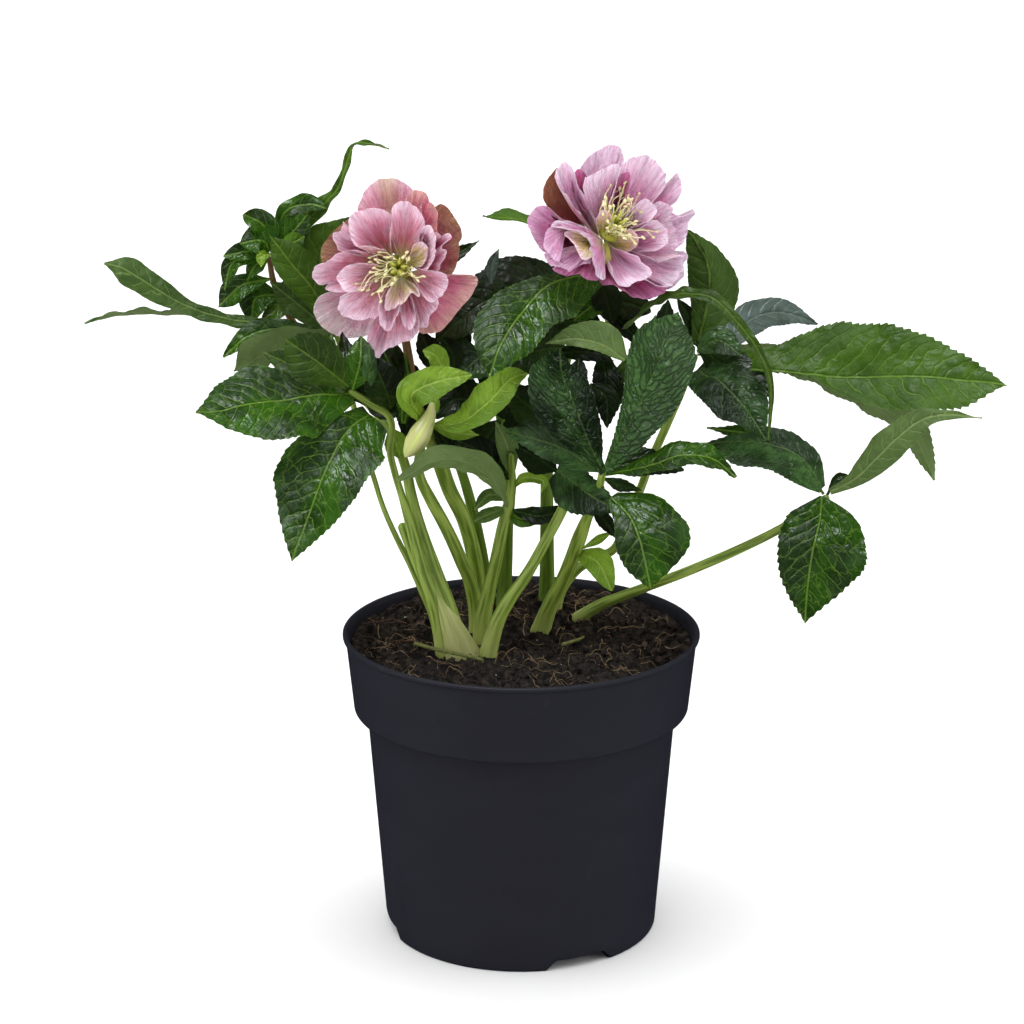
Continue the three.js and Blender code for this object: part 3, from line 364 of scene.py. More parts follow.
# The leaves of the left tuft, which share one CAD node
TUFT_LEAVES = [
    leaf("glossy", 8, [(-115.5, 5, 330.3), (-119, 2, 335.9), (-129.2, 0, 334.5)], fullness=0.7, peak=0.55),
    leaf("glossy", 6.5, [(-115, 5, 331.2), (-118, 4, 342.4), (-127, 2, 348)], fullness=0.6, peak=0.55),
    leaf("glossy", 8, [(-114.6, 6, 331.2), (-105.2, 4, 339.6), (-97.2, 4, 348.9)], fullness=0.7, peak=0.55),
    leaf("bright", 5, [
        (-114.1, 1, 329.4), (-107.2, -2, 333.1), (-99.7, -3, 337.7)
    ], fullness=0.6, peak=0.6),
    leaf("glossy", 4.6, [(-115.5, 5, 329.4), (-125.6, 2, 330.8), (-137.1, 0, 328.4)], fullness=0.7),
    leaf("glossy", 4.2, [(-116.5, 4, 328.4), (-132.2, 2, 325.6), (-137.1, 0, 312.5)], fullness=0.8),
    leaf("glossy", 4.2, [(-115.5, 5, 328.4), (-122.1, 4, 324.2), (-126.4, 3, 317.2)]),
    leaf("glossy", 5, [(-115, 7, 332.2), (-108.6, 8, 348.4), (-97.6, 6, 352.8), (-89.4, 4, 351)], peak=0.6),
    leaf("glossy", 6.5, [(-114.7, 8, 325.6), (-101.8, 8, 325.6), (-91.3, 8, 321.4)]),
    leaf("glossy", 5, [(-112.6, 10, 314.4), (-100.2, 10, 315.3), (-89.7, 8, 310.6)]),
    leaf("glossy", 6.5, [(-114.4, 7, 318.1), (-128.8, 5, 314.4), (-140.1, 3, 304.5)], peak=0.6),
    leaf("glossy", 7.5, [(-111.8, 10, 310.6), (-122.5, 7, 308.8), (-125, 6, 297.4)], fullness=0.8),
    leaf("bright", 5.5, [(-111.3, 9, 311.6), (-112.9, 8, 304), (-119.9, 6, 298.4)]),
    leaf("young", 2.6, [(-115.1, 1, 329.4), (-119.2, -3, 328), (-119.8, -4, 323.3)]),
]

# Leaflets too small for a node of their own, by the piece they are joined to. Leaflets with the shade skin
# are near-black leaves that paint the shade deep inside the plant.
LEAFLETS = {
    "leaf_centre_side": [
        leaf("dark", 3, [(38.8, -46, 222.6), (46.3, -46, 219.2), (56.7, -46, 216.7)]),
    ],
    "leaf_under_right_flower": [
        leaf("shade", 7, [(36.6, -14, 319.1), (38.9, -20, 308.8), (42.3, -22, 296.5)], tone=0.9),
    ],
    "leaf_stem_bright": [
        leaf("young", 2, [(29.1, -12, 188.3), (36.2, -14, 192.2), (43.7, -18, 196.6)], teeth=0),
    ],
    "leaf_centre_dark": [
        leaf("shade", 3.5, [(32.3, -42, 207.9), (39, -42, 202), (44.7, -40, 193.2)]),
        leaf("shade", 7.5, [(16.7, -25, 226), (7.8, -22, 231.8), (-3.5, -18, 239.1)]),
    ],
    "leaf_tuft_long": [
        leaf("dull", [1.5, 5, 7, 6], [
            (-88.6, 6, 293.2), (-97.7, 6, 301.2), (-106.8, 6, 308.8), (-115.8, 5, 316.3)
        ], teeth=0.2, tone=0.2),
        leaf("mid", [2, 7, 11, 10, 5], [
            (-86.7, 7, 293.7), (-91.9, 8, 317.2), (-91.6, 8, 331.2), (-85, 8, 339.6), (-75.8, 8, 347)
        ], teeth=0.2, tone=0.3),
    ],
    "leaf_right_high_upright": [
        leaf("deep", ([3, 7, 10, 10, 6], [0.5, 0.5, 0.5, 0.5, 0.5]), [
            (81.8, 0.5, 286.1), (85.2, 3.5, 302.2), (86.8, 4.5, 314.9), (85.2, 3.5, 326.6),
            (80, 2.5, 335.9), (74.4, 1.5, 341.9)
        ], fold=4, teeth=0.2, tone=0),
        leaf("shade", 3.4, [(81.3, 6, 286.1), (77.4, 4, 299.3), (71.7, 2, 308.8)], teeth=0.1),
    ],
    "leaf_left_front_round": [
        leaf("deep", [3, 5, 6, 5], [
            (-81.6, -39, 265.6), (-94.5, -34, 271.8), (-107.4, -30, 277.5), (-120.3, -26, 283.2)
        ], teeth=0.2, tone=0.2),
        leaf("dull", 3.5, [(-81.5, -40, 270.8), (-87, -36, 278.9), (-88.2, -30, 291.8)]),
        leaf("dark", 4, [(-80.2, -41, 265.6), (-80.5, -38, 279.4), (-83.1, -31, 292.7)]),
        leaf("glossy", 7, [(-78.8, -42, 264.6), (-74.9, -44, 278.5), (-74.3, -38, 290.8)]),
    ],
    "leaf_left_front_inner": [
        leaf("shade", 6, [(-54.4, -18, 241), (-52.9, -20, 257.9), (-56.4, -20, 278.5)]),
        leaf("shade", 7, [(-45.5, -16, 245.9), (-49.1, -16, 262.7), (-55.4, -14, 283.2)]),
        leaf("shade", 7, [(-69.7, -22, 256.5), (-76.9, -24, 269.9), (-82.2, -22, 286.5)]),
        leaf("glossy", 3, [
            (-55.7, -27, 248.8), (-56.5, -31, 264.1), (-63.7, -30, 283.2)
        ], teeth=0.1, tone=0.2),
        leaf("glossy", 2.6, [
            (-54.8, -27, 248.8), (-51.9, -29, 262.2), (-54, -28, 283.2)
        ], teeth=0.1, tone=0.3),
        leaf("cool", 3.4, [(-72.3, -42, 264.1), (-70.3, -46, 275.6), (-71.1, -44, 287)], teeth=0.1),
        leaf("dark", 5, [(-57.6, -25, 250.2), (-54.6, -26, 267.5), (-60, -22, 284.2)]),
        leaf("young", 5.5, [(-60.9, -24, 246.8), (-58.7, -24, 239.6), (-56.4, -20, 232.3)]),
        leaf("dark", 10, [(-52.2, -24, 276.6), (-63.8, -20, 279.4), (-76.3, -12, 283.2)]),
        leaf("dark", 9, [(-51.4, -23, 262.2), (-60.2, -20, 266), (-62.8, -14, 284.2)]),
        leaf("dark", 8, [(-51.9, -22, 259.3), (-63.1, -20, 258.4), (-72.3, -14, 264.1)]),
    ],
    "leaf_left_back_low": [
        leaf("glossy", 6, [
            (-87.2, 2, 292.2), (-113.6, -4, 294.1), (-127.1, -8, 290.3), (-138.4, -10, 280.8)
        ], teeth=0.2),
        leaf("dull", 6.5, [(-83.5, 8, 293.2), (-92.5, 10, 307.8), (-99.6, 11, 321.4)], teeth=0.2),
    ],
    "bract_upper": [
        leaf("shade", 6, [(-38.8, -22, 271.8), (-42.4, -20, 283.2), (-47.4, -16, 292.7)]),
        leaf("shade", 5, [(-30.9, -20, 273.7), (-32.2, -18, 283.2), (-37.7, -16, 290.8)]),
        leaf("young", 5, [(-34.6, -36, 268.9), (-39.2, -36, 280.8), (-45.6, -36, 284.2)], teeth=0.3),
        leaf("young", 2.6, [(-44.1, -34, 250.2), (-40.8, -35, 256.9), (-39.3, -35, 262.2)], teeth=0),
    ],
    "bract_side": [
        leaf("shade", 4.5, [(-7.7, -4, 235.2), (-4.4, -4, 245.9), (-3.5, -4, 258.4)]),
        leaf("shade", 4, [(-32.5, -12, 235.2), (-36.2, -14, 241), (-41.8, -16, 247.8)]),
        leaf("shade", 7, [(-10, 6, 238.6), (-22.2, 0, 238.6), (-35.7, -8, 241)]),
        leaf("shade", 8, [(-0.7, 4, 250.7), (-7.7, 0, 260.3), (-12.8, -6, 273.7)]),
        leaf("young", 3.6, [(-41.8, -36, 247.3), (-29.6, -38, 244.4), (-19.8, -38, 243.4)], teeth=0),
        leaf("dark", 11, [(-10, 10, 257.9), (-19.3, -4, 259.3), (-30.9, -14, 260.3), (-41.7, -18, 251.6)]),
        leaf("dark", 8, [(-10, 12, 250.7), (-18.4, 0, 241), (-31.1, -14, 238.1)]),
    ],
    "leaf_dark_behind": [
        leaf("shade", 9, [(17.7, 20, 307.8), (6.2, 10, 317.2), (-9.9, 4, 319.6), (-20.1, 0, 310.2)]),
        leaf("shade", 9, [(36.3, -6, 293.7), (24.7, -8, 297.4), (14.1, -12, 293.7)]),
        leaf("steel", 2.6, [(-14.1, -6, 315.3), (-13.6, -6, 323.8), (-10.4, -6, 331.7)], teeth=0, tone=0.1),
        leaf("shade", 7, [(-23.9, 0, 283.2), (-30.3, -6, 293.7), (-34.8, -8, 307.8)]),
        leaf("dark", 11, [
            (28.8, 26, 308), (15.8, 14, 310.5), (-0.7, 6, 308.5), (-15.5, 0, 301)
        ], fullness=0.65),
        leaf("cool", 11, [(-13.7, 8, 283.2), (-18.3, -14, 281.3), (-30.4, -20, 270.8)]),
        leaf("dark", 12, [(22.5, 22, 284.2), (8.6, 8, 284.2), (-7.6, -6, 278.5), (-20.2, -14, 266)]),
        leaf("dark", 8, [(40.3, -13, 306.9), (50, -16, 305.9), (59.8, -18, 302.2)]),
        leaf("glossy", 6, [(40.3, -14, 309.7), (32.5, -20, 305), (24.3, -24, 298.4)]),
    ],
    "leaf_centre_left": [
        leaf("shade", 5, [(24.9, -52, 261.3), (25.8, -49, 271.8), (26.7, -44, 280.4)]),
        leaf("pale", ([1, 3, 4, 4, 2], [2, 9, 11, 8, 4]), [
            (48, -44, 279.4), (37.3, -44, 286.5), (24.8, -44, 289.4), (10.9, -44, 287)
        ], teeth=0.3, fold=2, tone=0.55),
        leaf("shade", 6, [(8.7, -34, 241), (-0.2, -30, 256.5), (-4.4, -26, 270.8)]),
        leaf("shade", 9, [(18.1, -30, 235.2), (11, -28, 248.3), (4, -26, 262.7)]),
        leaf("shade", [1, 2.2, 5.5, 6, 4], [(38.2, -13.5, 283.2), (41.6, -24, 267), (40.4, -28, 248.8)]),
        leaf("dark", 11, [(38.2, -14, 288), (27, -20, 297.4), (14.1, -22, 295.5), (5.8, -24, 285.1)]),
        leaf("cool", 8, [(36.9, -45, 225.5), (18.1, -44, 237.2), (-8.6, -42, 245.9)], fold=4, tone=0.75),
        leaf("dark", 12, [(36.9, -43, 226.5), (20.8, -38, 241), (5.4, -34, 255.5), (-9, -32, 268)]),
        leaf("dark", 8, [(36.9, -44, 226), (28.7, -37, 248.8), (22.5, -34, 273.7)]),
    ],
    "leaf_centre_right": [
        leaf("shade", 5.5, [(31.9, -36, 268), (39.4, -38, 261.3), (40, -38, 246.8)]),
        leaf("shade", 4.5, [(37.6, -16, 307.8), (46.5, -20, 296.5), (59.6, -26, 284.2)]),
        leaf("shade", 4.5, [(61.8, -34, 286.1), (65.9, -38, 297.4), (67.6, -38, 307.8)], tone=0.9),
        leaf("shade", 6.5, [(37.3, -13.5, 284.2), (39.3, -24, 268.9), (38.5, -28, 250.7)]),
        leaf("dull", 7, [(38.4, -14, 269.9), (55, -30, 278.5), (61.7, -40, 300.3)]),
        leaf("dark", 7, [(39.7, -44, 226.5), (55.6, -44, 230.4), (76.3, -46, 226.5)]),
    ],
    "leaf_right_high_low": [
        leaf("cool", 7, [(81.4, -3, 283.2), (91, -8, 288.9), (102.3, -12, 281.3)], teeth=0.3),
        leaf("dark", 9, [(80.3, 0, 288.4), (93.1, -2, 277.5), (107.1, -6, 270.8), (117.1, -10, 261.3)]),
    ],
    "leaf_right_low_dark": [
        leaf("glossy", 5.5, [(142.2, -16, 214.8), (125.7, -8, 235.2), (110.6, -2, 243), (86.5, 0, 246.8)]),
        leaf("dark", 2, [(143.7, -20, 214.3), (148.6, -18, 222.6), (155.6, -16, 223.6)]),
    ],
    "leaf_back_light": [
        leaf("dark", 4, [(-52, -16, 299.8), (-37.5, -4, 322.8), (-19.5, 0, 335.9)]),
    ],
    "leaf_arched_under": [
        leaf("shade", [2, 4, 4, 3], [
            (18.8, -20, 282.7), (28, -20, 283.2), (36.4, -22, 282.3), (42.9, -22, 278.9)]),
        leaf("dull", 3.4, [(-5.3, -9, 211.8), (-14.7, -12, 214.3), (-22.3, -14, 207)], teeth=0.2),
        leaf("dull", 3.6, [(-5.8, -9, 208), (-15.7, -12, 204.5), (-22.3, -13, 201.5)], teeth=0.2),
        leaf("mid", 4, [(-5.8, -7, 205), (0.3, -12, 202.5), (9.3, -14, 200.5)], teeth=0.2),
        leaf("dark", 4.5, [(-4.9, -9, 207), (8.8, -15, 204), (23, -18, 208.5)], teeth=0.2),
        leaf("young", 2.6, [
            (-4.9, -11, 216.7), (1.2, -16, 222.6), (10.2, -18, 221.1), (9.2, -18, 215.3)
        ], teeth=0),
        leaf("pale", 5, [(-4.4, -14, 222.6), (-6.7, -20, 238.1), (-11.9, -20, 249.7)], teeth=0),
        leaf("dark", 7.5, [(-4.4, -14, 221.6), (-15.6, -20, 233.3), (-29.6, -22, 241)]),
    ],
}

# The hanging bud: centre and radius of each ring, from its stalk to its tip
BUD = [
    ((-41.4, -35, 259.5), 1.2),
    ((-42.2, -36.5, 254), 2.6),
    ((-44.6, -38.5, 248.6), 4.0),
    ((-47.6, -40, 243.4), 5.2),
    ((-50.6, -40.5, 238.6), 4.7),
    ((-53.2, -41, 234.8), 2.6),
    ((-54.6, -41, 232.8), 0.3),
]
BUD_ACROSS = (0.8, 0, -0.6)
BUD_DEEP = (0, 1, 0)

# Sepals and petals, from the back of each flower to its front
LEFT_SEPALS = {
    "top": fan((-57, -25.5, 328.5), [
        (-63, -27, 335), (-71.5, -28, 341.5), (-75, -28, 349), (-73.5, -27, 354.5), (-70, -26, 360.5),
        (-65.5, -25, 363.5), (-60, -24, 364.5), (-54.5, -24, 363), (-50, -25, 359.5), (-46, -26, 352.5),
        (-46.5, -27, 344), (-52, -26, 334)
    ], skin="striped"),
    "upper_right": fan((-53, -26, 325.5), [
        (-47.5, -25, 334), (-42, -21, 347.5), (-39, -19, 351.5), (-36, -18, 352.5), (-32, -18, 348.5),
        (-28, -19, 341.5), (-27.5, -20, 337), (-29, -21, 334.5), (-28.5, -21, 331), (-29.5, -22, 325.5),
        (-32.5, -23, 320), (-37.5, -24, 318.5), (-46.5, -26, 321.5)
    ], skin="olive", cup=0.1),
    "lower_right": fan((-53, -27, 320.5), [
        (-46.5, -28, 321), (-37.5, -29, 318.5), (-29, -28, 319.5), (-21.5, -27, 319), (-20.5, -26, 315),
        (-24, -26, 309), (-28.5, -27, 304), (-32, -27, 299), (-37.5, -27, 293.5), (-43.5, -28, 292),
        (-47.5, -29, 293.5), (-50.5, -30, 302), (-53, -28, 312.5)
    ], skin="rose", cup=0.1),
    "lower_left": fan((-59.5, -27, 320.5), [
        (-67.5, -30, 316.5), (-78, -32, 313.5), (-88.5, -32, 311.5), (-94, -31, 308.5), (-96, -30, 303),
        (-94, -29, 297.5), (-89.5, -28, 293), (-83, -28, 290.5), (-75.5, -29, 290), (-70, -30, 292.5),
        (-65.5, -31, 299.5), (-59.5, -29, 312.5)
    ], skin="pale"),
    "upper_left": fan((-60, -27, 325), [
        (-61.5, -26, 334), (-67.5, -24, 346), (-73, -22, 348), (-80.5, -20, 344.5), (-86.5, -19, 339.5),
        (-91, -19, 333.5), (-92, -20, 328.5), (-90.5, -22, 323), (-81, -25, 321), (-68, -27, 323)
    ], skin="olive", cup=0.08),
}
LEFT_PETALS = [
    fan((-54.5, -29, 327.5), [
        (-56, -30, 336), (-54, -30, 350.5), (-49.5, -29, 359), (-44.5, -28, 357), (-40.5, -27, 351.5),
        (-38.5, -28, 344), (-39.5, -30, 337.5), (-44.5, -31, 333.5), (-51, -30, 328.5)
    ], skin="rose", tone=0.2),
    fan((-55.5, -31, 327), [
        (-57.5, -33, 332), (-60.5, -36, 340.5), (-59.5, -38, 348.5), (-56, -38, 353), (-51.5, -37, 354),
        (-48, -37, 350.5), (-44.5, -37, 344), (-45, -37, 337.5), (-48, -34, 331), (-51.5, -32, 327.5)
    ], tone=0.4),
    fan((-59.5, -32, 326.5), [
        (-62.5, -37, 331.5), (-69, -42, 333), (-75.5, -43, 333), (-78.5, -43, 338), (-78.5, -41, 345),
        (-74.5, -39, 349), (-68.5, -38, 350.5), (-63, -38, 350), (-59.5, -38, 346), (-60.5, -37, 338.5),
        (-60, -34, 331)
    ], tone=0.35, cup=0.26),
    fan((-61.5, -30, 325.5), [
        (-68, -33, 328.5), (-78, -36, 329.5), (-83.5, -36, 331.5), (-86.5, -35, 336), (-86, -35, 339),
        (-83, -35, 340), (-82, -36, 344.5), (-79.5, -36, 340.5), (-76, -36, 336), (-68.5, -34, 333.5),
        (-62.5, -31, 328.5)
    ], tone=0.6),
    fan((-62.5, -31, 323.5), [
        (-68, -35, 330), (-78, -37, 331), (-84.5, -38, 329.5), (-88, -38, 326), (-92, -37, 324.5),
        (-95.5, -36, 322.5), (-96, -36, 318), (-93, -37, 315), (-88.5, -37, 316), (-91, -37, 313),
        (-87, -38, 312), (-81.5, -40, 311.5), (-74.5, -39, 313), (-68, -36, 316.5)
    ], tone=0.5),
    fan((-62, -32, 321.5), [
        (-66.5, -37, 324.5), (-74.5, -40, 325), (-81, -42, 323.5), (-84.5, -42, 318.5), (-83, -42, 313.5),
        (-79, -42, 311), (-74, -41, 313.5), (-68, -38, 316.5)
    ], tone=0.75),
    fan((-61, -32, 319.5), [
        (-68, -37, 315.5), (-76.5, -41, 312), (-83, -42, 309.5), (-84.5, -42, 305), (-82.5, -41, 300.5),
        (-77, -41, 298.5), (-71, -41, 299), (-66, -41, 301), (-64.5, -40, 306), (-63, -36, 312.5)
    ], tone=0.7, cup=0.1),
    fan((-56.5, -31, 318.5), [
        (-61, -36, 312.5), (-65.5, -38, 306), (-67.5, -38, 299.5), (-70.5, -38, 293.5), (-71, -37, 289),
        (-69, -37, 284), (-66.5, -38, 280), (-64, -38, 284), (-59.5, -38, 286), (-54, -38, 288),
        (-50, -37, 290), (-47.5, -37, 295.5), (-48.5, -37, 302), (-50.5, -37, 308.5), (-53, -34, 314)
    ], tone=0.5),
    fan((-57.5, -33, 317.5), [
        (-61.5, -38, 313.5), (-65, -41, 308), (-66, -42, 300.5), (-64, -42, 294), (-61.5, -42, 293),
        (-58.5, -42, 298.5), (-56, -41, 305), (-55, -37, 312.5)
    ], tone=0.65, pleat=1.6),
    fan((-54.5, -33, 317.5), [
        (-56.5, -37, 311.5), (-56.5, -39, 305), (-55, -40, 297.5), (-52.5, -40, 293.5), (-49.5, -40, 296.5),
        (-49, -39, 303), (-51, -37, 309.5)
    ], tone=0.3, pleat=1.5),
    fan((-55.5, -33, 319), [
        (-59.5, -38, 315), (-62.5, -41, 309.5), (-63, -42, 303.5), (-59, -42, 303.5), (-54, -42, 307.5),
        (-50.5, -41, 311.5), (-47, -41, 309), (-48, -39, 313.5), (-52, -35, 317)
    ], skin="petal_heart", tone=0.8),
    fan((-52.5, -31, 318.5), [
        (-52.5, -36, 312.5), (-50, -39, 306.5), (-49, -39, 300.5), (-47.5, -38, 296), (-43.5, -37, 295.5),
        (-42.5, -37, 300.5), (-39.5, -37, 303.5), (-39, -37, 308), (-41.5, -36, 312.5), (-47, -33, 316.5)
    ], tone=0.6),
    fan((-51.5, -31, 321), [
        (-48.5, -36, 316), (-45, -40, 309.5), (-41.5, -41, 306.5), (-37.5, -39, 309.5), (-34.5, -38, 313),
        (-33.5, -37, 317), (-36.5, -37, 320.5), (-42, -37, 321.5), (-47, -34, 322)
    ], tone=0.7, frill=1),
    fan((-51.5, -31, 324.5), [
        (-48, -36, 323), (-43.5, -41, 322), (-40.5, -42, 327.5), (-39.5, -42, 335), (-40.5, -41, 340.5),
        (-44, -40, 342.5), (-46.5, -39, 340), (-47.5, -37, 334), (-50, -34, 328.5)
    ], tone=0.75, cup=0.24),
    fan((-50.5, -30, 324), [
        (-44.5, -35, 321.5), (-39, -38, 321.5), (-36.5, -39, 325.5), (-34.5, -40, 330.5), (-37, -40, 332.5),
        (-34.5, -41, 335.5), (-32, -41, 337), (-34, -40, 339), (-37, -37, 337.5), (-39, -35, 339.5),
        (-43, -33, 337), (-47.5, -31, 328.5)
    ], tone=0.12, cup=0.3, frill=1),
    fan((-52.5, -33, 324.5), [
        (-51, -36, 328.5), (-49.5, -39, 333), (-46, -40, 335), (-43.5, -40, 333), (-43.5, -39, 328.5),
        (-46, -37, 324), (-49.5, -34, 323)
    ], skin="petal_heart", tone=0.6, cup=0.2),
]
RIGHT_SEPALS = {
    "top": fan((37.5, -25, 337), [
        (32, -26, 346), (27.5, -24, 356.5), (25, -22, 365), (28.5, -20, 372), (33.5, -18, 377),
        (38.5, -17, 379), (43, -17, 379), (45.5, -17, 376.5), (46.5, -19, 371.5), (45, -22, 362.5),
        (41, -24, 348)
    ], skin="blush", tone=0.9),
    "left": fan((32.5, -26, 335.5), [
        (24.5, -27, 341), (16, -28, 345), (12.5, -28, 350), (10, -28, 355.5), (10, -27, 360),
        (12.5, -25, 365), (14.5, -24, 368), (16.5, -23, 369.5), (17, -25, 365), (19.5, -27, 358.5),
        (23, -28, 351), (28, -27, 342.5)
    ], skin="brown", cup=0.06, pleat=0.5, frill=0.2),
    "low_left": fan((37, -27, 335.5), [
        (27, -29, 337), (18.5, -30, 344), (12.5, -31, 350.5), (8.5, -31, 351.5), (4.5, -31, 349),
        (2.5, -31, 344.5), (4, -32, 339.5), (6.5, -33, 334.5), (10, -34, 330.5), (16.5, -33, 327.5),
        (27.5, -29, 329.5)
    ], skin="deep_rose", tone=0.5),
    "low_right": fan((42, -27, 335.5), [
        (51.5, -29, 329.5), (60, -30, 327.5), (64.5, -30, 326), (69.5, -29, 328), (73, -28, 330.5),
        (76.5, -27, 328.5), (74.5, -28, 324.5), (74.5, -29, 319.5), (71.5, -30, 315.5), (67, -31, 312.5),
        (60, -32, 314.5), (51, -31, 321), (43.5, -28, 326.5)
    ], skin="blush", tone=0.5),
    "right": fan((43, -24.5, 335.5), [
        (54, -23, 343.5), (63.5, -20, 348), (69, -18, 349), (73.5, -17, 346.5), (76.5, -16, 348.5),
        (78.5, -15, 350.5), (79, -15, 347.5), (76.5, -16, 344), (76, -18, 339), (72, -20, 332.5),
        (63.5, -22, 331), (51.5, -24, 331.5)
    ], skin="blush", tone=0.6),
}
